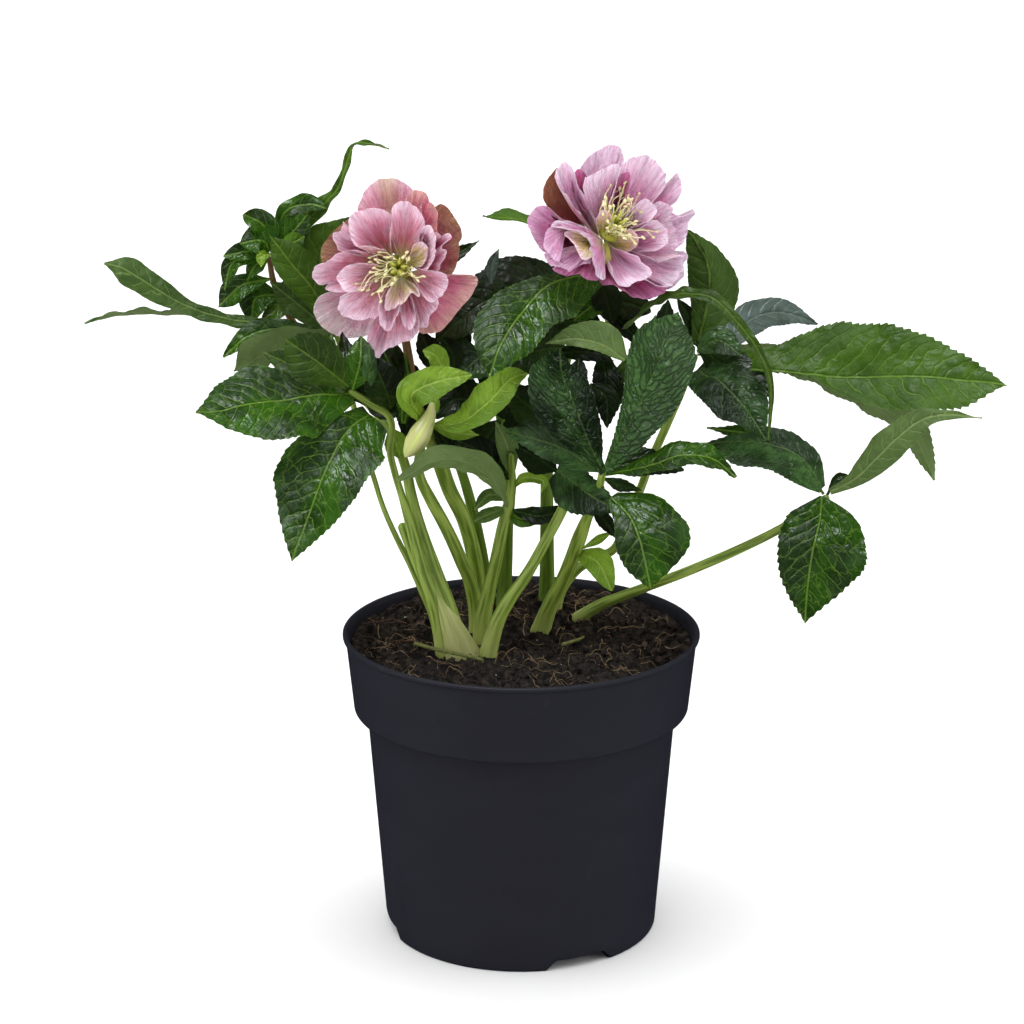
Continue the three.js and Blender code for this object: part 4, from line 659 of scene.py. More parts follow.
RIGHT_PETALS = [
    fan((42.5, -25, 336), [
        (54, -24, 347), (61, -22, 356.5), (64.5, -21, 360.5), (67.5, -20, 362.5), (71, -19, 367),
        (72.5, -20, 360), (71.5, -21, 354.5), (68.5, -22, 352.5), (63.5, -24, 347), (52.5, -25, 338.5)
    ], tone=0.35),
    fan((41, -27, 336.5), [
        (39.5, -28, 344), (41.5, -30, 354.5), (43, -30, 362.5), (45, -29, 369), (49, -27, 373),
        (54.5, -25, 374.5), (60, -24, 373.5), (63.5, -24, 368.5), (65.5, -25, 363.5), (64, -27, 358.5),
        (58.5, -29, 352), (52.5, -30, 345), (45, -28, 337.5)
    ], tone=0.7, cup=0.12),
    fan((39.5, -28, 337.5), [
        (38, -30, 344), (39, -31, 351.5), (41, -31, 359), (45, -30, 365.5), (49, -29, 367), (49, -30, 361),
        (46, -31, 353.5), (42.5, -30, 344)
    ], skin="crimson", tone=0.6),
    fan((37.5, -29, 336), [
        (34, -31, 342.5), (30.5, -33, 351.5), (28, -34, 358.5), (28.5, -34, 363.5), (32, -33, 366.5),
        (37, -32, 368), (44, -31, 370), (43.5, -32, 364.5), (41, -33, 356.5), (39, -32, 349),
        (38.5, -30, 340.5)
    ], tone=0.8, cup=0.1),
    fan((35, -28, 338.5), [
        (30, -30, 348), (24.5, -30, 357), (23.5, -29, 365.5), (26.5, -27, 368), (29.5, -27, 364.5),
        (29.5, -29, 357), (32, -30, 349)
    ], skin="crimson", tone=0.5),
    fan((35.5, -29, 336.5), [
        (30.5, -31, 342.5), (25, -33, 349.5), (20.5, -34, 356), (16.5, -34, 362), (15, -33, 366.5),
        (17.5, -32, 370), (20, -31, 371.5), (22.5, -32, 368.5), (24.5, -33, 363), (28, -33, 356),
        (31.5, -32, 350.5), (35, -31, 342.5)
    ], tone=0.6, cup=0.12),
    fan((42.5, -29, 335.5), [
        (48.5, -32, 343.5), (57, -33, 350.5), (64, -33, 353.5), (69, -32, 351), (68.5, -32, 345),
        (70.5, -31, 339.5), (71.5, -31, 334.5), (70, -31, 329.5), (66, -32, 326.5), (58, -33, 328),
        (49, -32, 331)
    ], tone=0.55, frill=0.9),
    fan((42, -30, 335.5), [
        (48.5, -35, 340.5), (56, -37, 344), (62.5, -38, 344.5), (66.5, -37, 340), (66, -37, 334),
        (61, -37, 330.5), (51.5, -35, 331)
    ], tone=0.3, frill=0.9),
    fan((42, -30, 336.5), [
        (45, -33, 342.5), (49.5, -36, 349), (54.5, -37, 354), (59.5, -37, 353.5), (61.5, -37, 349),
        (58, -37, 344), (51.5, -35, 339.5), (45, -32, 336)
    ], tone=0.75, cup=0.2),
    fan((38.5, -30, 335.5), [
        (34, -32, 325.5), (35, -35, 319), (39, -37, 315), (45.5, -38, 313.5), (53, -38, 309),
        (58.5, -37, 308.5), (63, -36, 309.5), (66, -36, 313), (60, -37, 317), (51, -35, 322),
        (42.5, -31, 327.5)
    ], skin="crimson", tone=0.4),
    fan((41.5, -31, 335.5), [
        (51.5, -35, 330.5), (59, -37, 328), (64.5, -37, 325.5), (70, -36, 327), (74, -35, 329.5),
        (73.5, -35, 324.5), (73.5, -36, 320), (70, -37, 316), (66, -38, 313.5), (61.5, -39, 315.5),
        (54.5, -38, 319), (46, -35, 325.5)
    ], tone=0.6, frill=1),
    fan((38.5, -31, 335.5), [
        (44.5, -38, 331), (50, -42, 329.5), (56, -44, 325.5), (59.5, -45, 321.5), (57, -46, 317.5),
        (52, -47, 316.5), (48.5, -47, 314), (44.5, -46, 316.5), (41.5, -43, 321.5), (39.5, -37, 327)
    ], tone=0.8, cup=0.2, frill=0.9),
    fan((37, -31, 335.5), [
        (31.5, -35, 337.5), (26, -38, 342.5), (21, -40, 345), (15.5, -41, 344.5), (11.5, -42, 341),
        (10.5, -42, 335), (12.5, -43, 328.5), (16.5, -44, 326), (24.5, -42, 324.5), (32.5, -37, 326.5)
    ], skin="crimson", tone=0.3, cup=0.3),
    fan((37, -32, 335.5), [
        (28.5, -37, 328.5), (20.5, -40, 328.5), (11, -41, 329.5), (11, -42, 326), (13, -43, 323.5),
        (16.5, -43, 324), (19, -43, 322.5), (21.5, -43, 320.5), (23.5, -43, 322), (27, -42, 324),
        (31.5, -38, 324.5)
    ], skin="deep_rose", tone=0.75, cup=-0.1, frill=0.9),
    fan((37, -31, 335.5), [
        (28, -35, 325.5), (16, -38, 324), (16, -39, 321), (20.5, -39, 319.5), (26, -38, 320),
        (30, -37, 317), (34.5, -36, 316.5), (38, -33, 321)
    ], skin="crimson", tone=0.2, cup=-0.05),
    fan((20, -43, 341), [
        (16, -45, 344), (12, -46, 341), (10.5, -47, 336), (12, -48, 330), (16, -49, 326.5),
        (18, -49, 327.5), (18.5, -48, 333), (20, -46, 337.5)
    ], skin="deep_rose", tone=0.9, cup=-0.12),
    fan((37, -33, 335.5), [
        (32, -39, 337.5), (26.5, -43, 342.5), (21, -45, 345.5), (15, -46, 344.5), (14, -47, 342.5),
        (19.5, -48, 341.5), (25, -47, 339.5), (30.5, -43, 335), (35, -36, 329.5)
    ], tone=0.7, cup=-0.12),
    fan((37, -33, 335.5), [
        (33, -40, 335.5), (28.5, -45, 339), (22.5, -47, 340.5), (20, -48, 339), (23, -49, 334),
        (25.5, -49, 330), (29.5, -47, 327), (33.5, -42, 329)
    ], skin="petal_heart", tone=0.5, cup=0.1),
    fan((37, -34, 335.5), [
        (31.5, -39, 334), (32, -41, 328.5), (34, -41, 323), (36, -40, 317), (38.5, -39, 318.5),
        (37, -38, 324.5), (36.5, -36, 331)
    ], tone=0.6, cup=-0.1, pleat=0.6),
    fan((38.5, -32, 335.5), [
        (35.5, -34, 331), (36.5, -36, 327), (39, -37, 325), (41.5, -36, 327), (41, -34, 331)
    ], skin="heart_green", cup=-0.15, pleat=0.3, frill=0.1),
    fan((37.5, -31, 336), [
        (35, -34, 340.5), (34.5, -37, 346), (37, -38, 349.5), (41, -38, 348), (41.5, -36, 342.5),
        (40, -33, 337)
    ], skin="petal_heart", tone=0.4, cup=0.2),
    fan((41.5, -31, 335.5), [
        (44.5, -34, 337.5), (49, -37, 340.5), (53, -38, 338.5), (53, -38, 334), (49, -36, 331),
        (44, -33, 332)
    ], skin="petal_heart", tone=0.5, cup=0.2),
]
# Each flower's middle, the way it faces, where its anthers lean and spread to, and its parts
FLOWERS = {
    "left": {"centre": (-56.8, -28, 322.8), "axis": (0.03, -0.97, 0.24), "tips": (-4, -2, 6),
             "stamens": 34, "sepals": LEFT_SEPALS, "petals": LEFT_PETALS},
    "right": {"centre": (40.5, -28, 340.5), "axis": (0.25, -0.84, 0.48), "tips": (6.5, 5, 6),
             "stamens": 56, "sepals": RIGHT_SEPALS, "petals": RIGHT_PETALS},
}


# ---------------------------------------------------------------------------------------------
# Curves, noise and meshes

def at(points):
    """Places points of the layout sheet in space, in millimetres."""
    points = np.atleast_2d(np.asarray(points, float))
    sheet = points * (1, 0, 1)
    return EYE + (sheet - EYE) * (1 - points[:, 1:2] / EYE[1])


def turns(count):
    """Angles spread evenly around a circle."""
    return np.arange(count) / count * 2 * np.pi


def spokes(turn, side, front):
    """Directions around a circle: an ellipse where side and front differ in length."""
    return np.multiply(side, np.cos(turn)[:, None]) + np.multiply(front, np.sin(turn)[:, None])


def unit(vectors):
    return vectors / np.maximum(np.linalg.norm(vectors, axis=-1, keepdims=True), 1e-9)


def smooth(values, low, high):
    """0 below low, 1 above high, and a smooth step between."""
    share = np.clip((values - low) / (high - low), 0, 1)
    return share * share * (3 - 2 * share)


def noise(places, size, seed=0):
    """Smooth random values from -1 to 1 over cells of the given size, one for each place."""
    spots = np.asarray(places, float) / size + 37.3 * seed
    cell = np.floor(spots)
    part = spots - cell
    part = part * part * (3 - 2 * part)
    total = np.zeros(spots.shape[:-1])
    steps = np.array((127.1, 311.7, 74.7))[:spots.shape[-1]]
    for corner in itertools.product((0, 1), repeat=spots.shape[-1]):
        shares = np.prod(np.where(corner, part, 1 - part), axis=-1)
        scatter = np.sin((cell + corner) @ steps + seed) * 43758.5453
        total += shares * (2 * (scatter - np.floor(scatter)) - 1)
    return total


class Route:
    """A smooth curve through points in space."""

    def __init__(self, knots):
        knots = np.asarray(knots, float)
        self.knots = np.vstack([2 * knots[0] - knots[1], knots, 2 * knots[-1] - knots[-2]])

    def place(self, v):
        """The points at the shares v of the curve, from 0 to 1."""
        reach = np.clip(v, 0, 1) * (len(self.knots) - 3)
        first = np.minimum(reach.astype(int), len(self.knots) - 4)
        t = (reach - first)[:, None]
        a, b, c, d = (self.knots[first + i] for i in range(4))
        bend = (2 * a - 5 * b + 4 * c - d) * t ** 2 + (3 * b - a - 3 * c + d) * t ** 3
        return 0.5 * (2 * b + (c - a) * t + bend)

    def spaced(self, step, fewest=8):
        """Shares v that lie about one step apart, and how far along the curve each is."""
        fine = np.linspace(0, 1, 400)
        strides = np.linalg.norm(np.diff(self.place(fine), axis=0), axis=1)
        length = np.concatenate([[0], np.cumsum(strides)])
        count = max(round(length[-1] / step), fewest)
        along = np.linspace(0, length[-1], count + 1)
        return np.interp(along, length, fine), along

    def frames(self, v, look):
        """Centre, heading, side and normal at each v, with the normal on the side of look."""
        centre = self.place(v)
        heading = unit(np.gradient(centre, axis=0))
        side = unit(np.cross(heading, look))
        return centre, heading, side, np.cross(side, heading)


class Solid:
    """Points in millimetres, faces, and the surface values that the materials read."""

    def __init__(self, points, faces, blade, share=None, tone=0.5, skin=0):
        self.points = np.asarray(points, float).reshape(-1, 3)
        self.faces = faces
        self.blade = np.asarray(blade, float).reshape(-1, 3)
        share = np.zeros_like(self.points) if share is None else share
        self.share = np.asarray(share, float).reshape(-1, 3)
        self.tone = np.broadcast_to(np.asarray(tone, float), len(self.points))
        self.skin = skin
        if self.volume() < 0:
            self.faces = [face[::-1] for face in faces]

    def volume(self):
        triangles = np.array([(face[0], *side) for face in self.faces for side in zip(face[1:], face[2:])])
        a, b, c = (self.points[triangles[:, i]] for i in range(3))
        return np.sum(np.cross(a, b) * c)


def ring_quads(count, sides):
    """Quads between rings of points, one closed ring per station."""
    index = np.arange(count * sides).reshape(count, sides)
    after = np.roll(index, -1, axis=1)
    return np.stack([index[:-1], after[:-1], after[1:], index[1:]], -1).reshape(-1, 4).tolist()


def lofted(rings, blade, **values):
    """A solid skinned over rings of points, with flat ends."""
    count, sides = rings.shape[:2]
    last = (count - 1) * sides
    caps = [list(range(sides))[::-1], list(range(last, last + sides))]
    return Solid(rings, ring_quads(count, sides) + caps, blade, **values)


def round_places(turn, length):
    """Surface values of a round piece: where around it a point lies, and how far along."""
    return np.stack(np.broadcast_arrays(np.cos(turn), np.sin(turn), length[:, None]), -1)


def tube(knots, radii, sides, step, ridges=0.0, seed=0, **values):
    """A round stem through points in space that tapers through the given radii and ends rounded."""
    route = Route(knots)
    v, along = route.spaced(step)
    centre, heading, side, front = route.frames(v, (0, 1, 0))
    radius = np.interp(v, np.linspace(0, 1, len(radii)), radii)
    ends = [(0.45, 0.9), (0.8, 0.6), (0.97, 0.25)]
    centre = np.vstack([centre] + [centre[-1] + heading[-1] * radius[-1] * far for far, _ in ends])
    along = np.concatenate([along, [along[-1] + radius[-1] * far for far, _ in ends]])
    radius = np.concatenate([radius, [radius[-1] * share for _, share in ends]])
    side, front = (np.vstack([d, np.repeat(d[-1:], len(ends), axis=0)]) for d in (side, front))
    turn = turns(sides)
    swell = 1 + ridges * np.cos(5 * turn + 0.02 * along[:, None] + seed)
    reach = (radius[:, None] * swell)[..., None]
    rings = centre[:, None] + spokes(turn, side[:, None], front[:, None]) * reach
    return lofted(rings, round_places(turn, along), **values)


def pair(value):
    return value if isinstance(value, tuple) else (value, value)


def half_width(v, width, peak, fullness):
    """Half width of a blade at the share v of its length: a swelling, or listed from base to tip."""
    if isinstance(width, list):
        listed = Route([[each] for each in width + [0]]).place(v)[:, 0]
        return np.maximum(listed, 0.7 - 0.4 * v)
    bend = math.log(0.5) / math.log(peak)
    swell = np.sin(np.pi * np.minimum(v ** bend, 1)) ** fullness
    return np.maximum(width * swell, 0.7 - 0.4 * v)


def sheet(upper, lower, surface, across, along, **values):
    """A closed thin solid between two grids of points: each ring runs out above and back below."""
    count, size = across.shape
    faces = ring_quads(count, 2 * size)
    for start in (0, (count - 1) * 2 * size):
        for i in range(size - 1):
            face = [start + i, start + i + 1, start + 2 * size - 2 - i, start + 2 * size - 1 - i]
            faces.append(face if start else face[::-1])
    above, below = (np.stack([across, along, np.full(across.shape, up)], -1) for up in (1, 0))
    points, surface, share = (np.concatenate([out, back[:, ::-1]], axis=1) for out, back in (
        (upper, lower), (surface, surface), (above, below)))
    return Solid(points, faces, surface, share=share, **values)


def blade(skin, width, route, teeth, quilt, seed, looks="viewer", peak=0.5, fullness=0.9, fold=10, curl=0.0,
          ripple=0.8, sway=0.07, tone=0.5):
    """A leaf as a closed thin solid along its route.

    looks is where its upper side faces, at its base and at its tip. peak is the widest place along it and
    fullness how blunt its ends are. fold and curl lift the margins, teeth is the depth of the serration,
    ripple waves the margin, quilt raises the cells between the side veins and sway bends the whole blade.
    """
    line = Route(at(route))
    v, along = line.spaced(TOOTH_PITCH / TOOTH_STEPS, 14)
    ways = looks if isinstance(looks, (tuple, list)) else (looks, looks)
    ways = np.array([LOOKS[way] if isinstance(way, str) else way for way in ways], float)
    places = np.linspace(0, 1, len(ways))
    look = np.stack([np.interp(v, places, ways[:, i]) for i in range(3)], -1)
    centre, heading, side, normal = line.frames(v, look)

    widest = max(np.max(each) for each in pair(width))
    columns = int(np.clip(widest / 1.6, 4, 11))
    near = min(0.9 / widest, 0.12)
    right = np.concatenate([[near], np.linspace(near, 0.88, columns + 1)[1:], [0.95, 1]])
    across = np.concatenate([-right[::-1], [0], right])
    shares = np.broadcast_to(across, (len(v), len(across)))

    left_reach, right_reach = (half_width(v, w, p, fullness) for w, p in zip(pair(width), pair(peak)))
    reach = np.where(shares < 0, left_reach[:, None], right_reach[:, None])
    x = shares * reach
    l = np.broadcast_to(along[:, None], x.shape)
    ragged = np.stack([0 * shares + 9 * np.sign(shares), l], -1)
    x = x * (1 + EDGE_WOBBLE * (noise(ragged, 9.0, seed + 7) + 0.5 * noise(ragged, 4.0, seed + 8)))

    steps = np.arange(len(v))
    depth = teeth * min(1, (widest / 12) ** 0.5) * smooth(v, 0.06, 0.2) * smooth(-v, -1.0, -0.94)
    left_saw, right_saw = (SAW[(steps + shift) % TOOTH_STEPS][:, None] for shift in (2, 0))
    saw = np.where(shares < 0, left_saw, right_saw)
    cut = depth[:, None] * (saw - 0.4) * smooth(np.abs(shares), 0.86, 1.0)
    spots = np.stack([x, l], -1)

    rise = math.radians(fold)
    bow = np.sqrt(shares ** 2 + 0.01) - 0.1
    height = bow * reach * math.sin(rise) + curl * reach * shares ** 2
    height = height + sway * widest * noise(spots, 17, seed) * smooth(v, 0, 0.3)[:, None]
    cycles = l / (1.1 * widest + 10) + np.where(shares < 0, 0.37, 0) + 0.3 * noise(spots, 25, seed + 1)
    wave = ripple * np.abs(shares) ** 2.5 * np.sin(2 * np.pi * cycles)
    height = height + wave * smooth(v, 0.05, 0.3)[:, None]

    spacing = 4.2 + along[-1] / 30
    root = l - 0.85 * np.abs(x) - 0.3 * reach * np.abs(shares) ** 4
    vein = root / spacing + np.where(shares < 0, 0.5, 0) + 0.35 * noise(spots, 9, seed + 4)
    bulge = 0.5 - 0.5 * np.cos(2 * np.pi * vein)
    bulge = bulge * smooth(np.abs(x), 0.5, 4) * smooth(-np.abs(shares), -1, -0.8)
    lumps = 0.6 * bulge + 0.9 * noise(spots, 6.0, seed + 5) + 0.6 * noise(spots, 3.2, seed + 3)
    height = height + quilt * lumps
    taper = (1 - 0.7 * v)[:, None]
    height = height - 0.35 * quilt * np.exp(-(x / 0.9) ** 2) * taper

    out = (x * math.cos(rise) + np.sign(shares) * cut)[..., None]
    forward = (0.8 * np.maximum(cut, 0))[..., None]
    upper = centre[:, None] + side[:, None] * out + heading[:, None] * forward
    upper = upper + normal[:, None] * height[..., None]
    deep = BLADE_THICKNESS * (1 - 0.55 * np.abs(shares) ** 3)
    deep = deep + RIB_THICKNESS * np.exp(-(x / 0.75) ** 2) * taper
    lower = upper - normal[:, None] * deep[..., None]

    along = np.broadcast_to(v[:, None], x.shape)
    return sheet(upper, lower, np.stack([x, l, vein], -1), shares, along, tone=tone, skin=skin)


def petal(base, margin, facing, skin, pleat, frill, seed, cup=0.16, jag=0.8, tone=0.5):
    """A petal as a closed thin solid that fans out from its base to its margin.

    cup hollows it by its share of its length, pleat and frill are the heights of the folds that run out
    from the base and of the waves along the margin, and jag is how ragged the margin is.
    """
    rim = Route(at(margin))
    v, along = rim.spaced(0.9)
    foot = at(base)[0]
    reach = rim.place(v) - foot
    length = np.linalg.norm(reach, axis=1)
    edge = np.stack([along, np.full_like(along, seed)], -1)
    ragged = noise(edge, 3.1, seed) + 0.6 * noise(edge, 1.3, seed + 1)
    reach = reach * (1 + jag * ragged / np.maximum(length, 8))[:, None]
    steps = np.concatenate([[0.03, 0.12, 0.22], np.linspace(0.34, 0.9, 8), [0.96, 1]])
    out = np.broadcast_to(steps, (len(v), len(steps)))
    fan = np.stack([np.broadcast_to(along[:, None], out.shape), 0.4 * out * length[:, None]], -1)
    folds = noise(fan, 7.5, seed + 2) + 0.6 * noise(fan, 3.4, seed + 3)
    height = -cup * length[:, None] * np.sin(np.pi * out) + pleat * np.minimum(1.3 * out, 1) * folds
    height = height + frill * out ** 3 * (1.3 * noise(fan, 4.2, seed + 4) + 0.7 * noise(fan, 2.0, seed + 5))
    upper = foot + reach[:, None] * out[..., None] + facing * height[..., None]
    normal = unit(np.cross(np.gradient(upper, axis=0), np.gradient(upper, axis=1)))
    normal = normal * np.sign(np.sum(normal @ facing))
    lower = upper - normal * PETAL_THICKNESS * (1 - 0.4 * out[..., None] ** 3)

    middle = along - 0.5 * along[-1]
    surface = np.stack([np.broadcast_to(middle[:, None], out.shape), out * length[:, None], 0 * out], -1)
    share = out * (length / length.max())[:, None]
    return sheet(upper, lower, surface, np.sign(middle)[:, None] * out, share, tone=tone, skin=skin)


def piece_name(node):
    """leaf_left_front_long becomes left_front_long_leaf, so that no piece has its node's own name."""
    kind, rest = node.split("_", 1)
    return f"{rest}_{kind}"


def make_piece(name, solids, materials, nodes, sharp=55):
    """Joins solids into one mesh that stands for its CAD nodes and rides on the plant's one body."""
    starts = np.cumsum([0] + [len(solid.points) for solid in solids])
    points = np.vstack([solid.points for solid in solids]) * MM
    faces = [[int(i + start) for i in face] for solid, start in zip(solids, starts) for face in solid.faces]
    mesh = bpy.data.meshes.new(name)
    mesh.from_pydata(points.tolist(), [], faces)
    for label in ("blade", "share"):
        layer = mesh.attributes.new(label, "FLOAT_VECTOR", "POINT")
        layer.data.foreach_set("vector", np.vstack([getattr(solid, label) for solid in solids]).ravel())
    layer = mesh.attributes.new("tone", "FLOAT", "POINT")
    layer.data.foreach_set("value", np.concatenate([solid.tone for solid in solids]))
    used = sorted({solid.skin for solid in solids}, key=str)
    for skin in used:
        mesh.materials.append(materials[skin])
    marks = [used.index(solid.skin) for solid in solids for _ in solid.faces]
    mesh.polygons.foreach_set("material_index", marks)
    mesh.polygons.foreach_set("use_smooth", [True] * len(faces))
    mesh.set_sharp_from_angle(angle=math.radians(sharp))
    mesh.update()
    piece = bpy.data.objects.new(name, mesh)
    bpy.context.scene.collection.objects.link(piece)
    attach(piece, BODY)
    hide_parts(*nodes)
    return piece


# ---------------------------------------------------------------------------------------------
# Materials

class Field:
    """A shader socket that can be used in a Python expression: each operator adds its Math node."""

    def __init__(self, shader, socket):
        self.shader = shader
        self.socket = socket

    def math(self, operation, *values):
        return self.shader.node("ShaderNodeMath", {"operation": operation}, dict(enumerate(values)))

    def __add__(self, other):
        return self.math("ADD", self, other)

    __radd__ = __add__

    def __sub__(self, other):
        return self.math("SUBTRACT", self, other)

    def __rsub__(self, other):
        return self.math("SUBTRACT", other, self)

    def __mul__(self, other):
        return self.math("MULTIPLY", self, other)

    __rmul__ = __mul__

    def __abs__(self):
        return self.math("ABSOLUTE", self)

    def above(self, other):
        return self.math("MAXIMUM", self, other)

    def split(self):
        """The three parts of a vector."""
        parts = self.shader.node("ShaderNodeSeparateXYZ", {}, {0: self}).socket.node.outputs
        return [Field(self.shader, socket) for socket in parts]

    def fade(self, low, high):
        """0 below low, 1 above high and smooth between; falls instead when low is the higher."""
        return self.shader.node("ShaderNodeMapRange", {"interpolation_type": "SMOOTHSTEP"},
                                {0: self, 1: low, 2: high, 3: 0.0, 4: 1.0})


class Shader:
    """Builds one node tree."""

    def __init__(self, tree):
        self.tree = tree
        tree.nodes.clear()

    def node(self, kind, settings, inputs, out=0):
        """Adds a node: its settings first, then the value or link of each named or numbered socket."""
        node = self.tree.nodes.new(kind)
        for name, value in settings.items():
            if name == "stops":
                set_stops(node.color_ramp, value)
            else:
                setattr(node, name, value)
        for key, value in inputs.items():
            if isinstance(value, Field):
                self.tree.links.new(value.socket, node.inputs[key])
            else:
                node.inputs[key].default_value = value
        return Field(self, node.outputs[out]) if node.outputs else None

    def surface(self, name, kind="Vector"):
        """A value that the mesh carries at each point."""
        out = {"Vector": 1, "Fac": 2}[kind]
        return self.node("ShaderNodeAttribute", {"attribute_name": name}, {}, out)

    def mix(self, factor, first, second):
        first, second = (c if isinstance(c, Field) else (*c[:3], 1.0) for c in (first, second))
        return self.node("ShaderNodeMix", {"data_type": "RGBA"}, {0: factor, 6: first, 7: second}, 2)

    def scaled(self, vector, factors):
        return self.node("ShaderNodeVectorMath", {"operation": "MULTIPLY"}, {0: vector, 1: factors})

    def shifted(self, vector, drift, factors):
        settings = {"operation": "MULTIPLY_ADD"}
        return self.node("ShaderNodeVectorMath", settings, {0: drift, 1: factors, 2: vector})

    def grain(self, vector, scale, detail=2.0, roughness=0.5, distortion=0.0, dimensions="3D"):
        """A noise texture's value, about 0.5 on average."""
        inputs = {"Vector": vector, "Scale": scale, "Detail": detail, "Roughness": roughness,
                  "Distortion": distortion}
        return self.node("ShaderNodeTexNoise", {"noise_dimensions": dimensions}, inputs)

    def cells(self, vector, scale, feature="DISTANCE_TO_EDGE", dimensions="2D"):
        settings = {"feature": feature, "voronoi_dimensions": dimensions}
        return self.node("ShaderNodeTexVoronoi", settings, {"Vector": vector, "Scale": scale})

    def finish(self, color, roughness, height=None, depth=MM, **constants):
        """The closing shader: height is in units of depth, and constants go on the shader's own sockets."""
        inputs = {"Base Color": color, "Roughness": roughness}
        if height is not None:
            inputs["Normal"] = self.node("ShaderNodeBump", {}, {"Height": height, "Distance": depth})
        inputs.update({name.replace("_", " "): value for name, value in constants.items()})
        shader = self.node("ShaderNodeBsdfPrincipled", {}, inputs)
        self.node("ShaderNodeOutputMaterial", {}, {"Surface": shader})


def set_stops(ramp, stops):
    while len(ramp.elements) < len(stops):
        ramp.elements.new(0.5)
    for element, (place, color) in zip(ramp.elements, stops):
        element.position = place
        element.color = (*color[:3], 1)


def new_material(name):
    material = bpy.data.materials.new(name)
    material.use_nodes = True
    return material, Shader(material.node_tree)


def leaf_material(name, dark, light, vein, under, rough, net, crinkle):
    """A leathery leaf: pale linked veins on a glossy upper side, and a matt paler underside."""
    material, s = new_material(name)
    place = s.surface("blade")
    across, _, lateral = place.split()
    share_across, _, upper = s.surface("share").split()
    tone = s.surface("tone", "Fac")
    patch = s.grain(place, 0.06, 2.0, dimensions="2D")
    fine = s.grain(place, 0.7, 3.0, 0.6, dimensions="2D")
    wander = s.node("ShaderNodeTexNoise", {"noise_dimensions": "2D"},
                    {"Vector": place, "Scale": 0.17, "Detail": 3.0}, 1)
    bent = s.shifted(place, wander, (8.0, 8.0, 0.0))
    loops = s.cells(s.scaled(bent, (1.0, 0.8, 0.0)), 0.135)
    small = s.cells(bent, 0.36)
    drift = lateral + 0.55 * (wander.split()[0] - 0.5)
    side_vein = drift.math("PINGPONG", drift, 0.5)
    rib = abs(across).fade(0.6, 0.25)
    laterals = side_vein.fade(0.05, 0.015) * abs(share_across).fade(0.95, 0.6)
    linked = loops.fade(0.05, 0.012).above(small.fade(0.08, 0.03) * 0.3)
    lines = (rib * 0.95).above(laterals * 0.8).above(linked * net)
    ground = s.mix(patch.fade(0.35, 0.65), dark, light)
    ground = s.mix(fine.fade(0.5, 0.8) * 0.3, ground, light)
    ground = s.mix(tone.fade(0.5, 1.0) * 0.7, ground, light)
    ground = s.mix(tone.fade(0.5, 0.0) * 0.7, ground, dark)
    top = s.mix(lines * 0.75, ground, vein)
    top = s.mix(abs(share_across).fade(0.97, 1.0) * 0.35, top, vein)
    below = s.mix(patch.fade(0.3, 0.7) * 0.5, under, toned(under, 0.75))
    below = s.mix(lines * 0.5, below, tuple(min(1.0, 1.45 * c) for c in under))
    matt = s.grain(place, 0.05, 1.0, dimensions="2D").fade(0.56, 0.42)
    roughness = (rough + 0.06 * fine.fade(0.3, 0.8) + 0.18 * matt) * upper + 0.6 * (1.0 - upper)
    folded = s.node("ShaderNodeCombineXYZ", {}, {0: across * 0.2, 1: lateral * 2.6})
    puckers = s.grain(folded, 1.0, 2.0, 0.5, 0.4, "2D")
    if crinkle > 1:
        warp = s.node("ShaderNodeCombineXYZ", {}, {0: across * 0.24, 1: lateral * 1.9})
        pads = s.cells(s.shifted(warp, wander, (1.5, 1.5, 0.0)), 1.0)
        # Painted shade: the grooves between the raised pads, low in the relief, are darkened
        top = s.mix(pads.fade(0.17, 0.0) * 0.6, top, toned(dark, 0.7))
        puckers = puckers * 0.5 + pads.fade(0.0, 0.3) * 0.8
    else:
        # Painted shade: the troughs of the puckers, low in the relief, are darkened
        top = s.mix(puckers.fade(0.56, 0.42) * 0.42 * crinkle * crinkle, top, dark)
    color = s.mix(upper, below, top)
    swell = s.grain(place, 0.19, 2.0, 0.45, dimensions="2D")
    relief = crinkle * (swell * 1.9 + puckers * 1.2 * crinkle + loops.fade(0.0, 0.42) * 0.6)
    relief = relief + (side_vein.fade(0.0, 0.18) * 0.22 + abs(across).fade(0.15, 1.2) * 0.3) * upper
    s.finish(color, roughness, relief + (1.0 - upper) * lines * 0.3, IOR=1.48,
             Specular_IOR_Level=0.42 if rough < 0.35 else 0.25)
    return material


# Leaves: dark, light and vein colours, roughness, strength of the net of veins, and crinkle
LEAF_SKINS = {
    "glossy": ((22, 52, 2), (42, 84, 6), (104, 138, 42), 0.27, 0.5, 0.42),
    # dark: deep greens, partly the leaves' own colour and partly painted shade for leaves that sit in the
    # plant's shadow
    "dark": ((12, 24, 3), (26, 46, 8), (48, 74, 22), 0.28, 0.25, 0.5),
    # shade: near-black greens, painted shade for leaflets set into the plant's depths
    "shade": ((9, 19, 3), (22, 38, 8), (38, 58, 18), 0.4, 0.15, 0.3),
    "deep": ((34, 58, 6), (56, 84, 16), (88, 114, 36), 0.4, 0.3, 0.35),
    "bluish": ((18, 40, 12), (68, 104, 52), (84, 112, 54), 0.3, 0.05, 1.1),
    "cool": ((18, 40, 12), (60, 94, 44), (84, 112, 54), 0.3, 0.05, 0.9),
    "dull": ((52, 80, 26), (78, 106, 42), (110, 134, 66), 0.42, 0.25, 0.4),
    "mid": ((50, 82, 4), (66, 102, 14), (102, 136, 38), 0.42, 0.25, 0.35),
    "bright": ((46, 80, 12), (74, 112, 24), (116, 146, 54), 0.22, 0.15, 0.35),
    "pale": ((74, 98, 44), (93, 118, 58), (124, 144, 84), 0.5, 0.25, 0.3),
    "steel": ((58, 76, 66), (84, 100, 94), (96, 112, 98), 0.34, 0.2, 0.4),
    "young": ((88, 122, 24), (118, 152, 38), (150, 178, 74), 0.36, 0.25, 0.6),
}


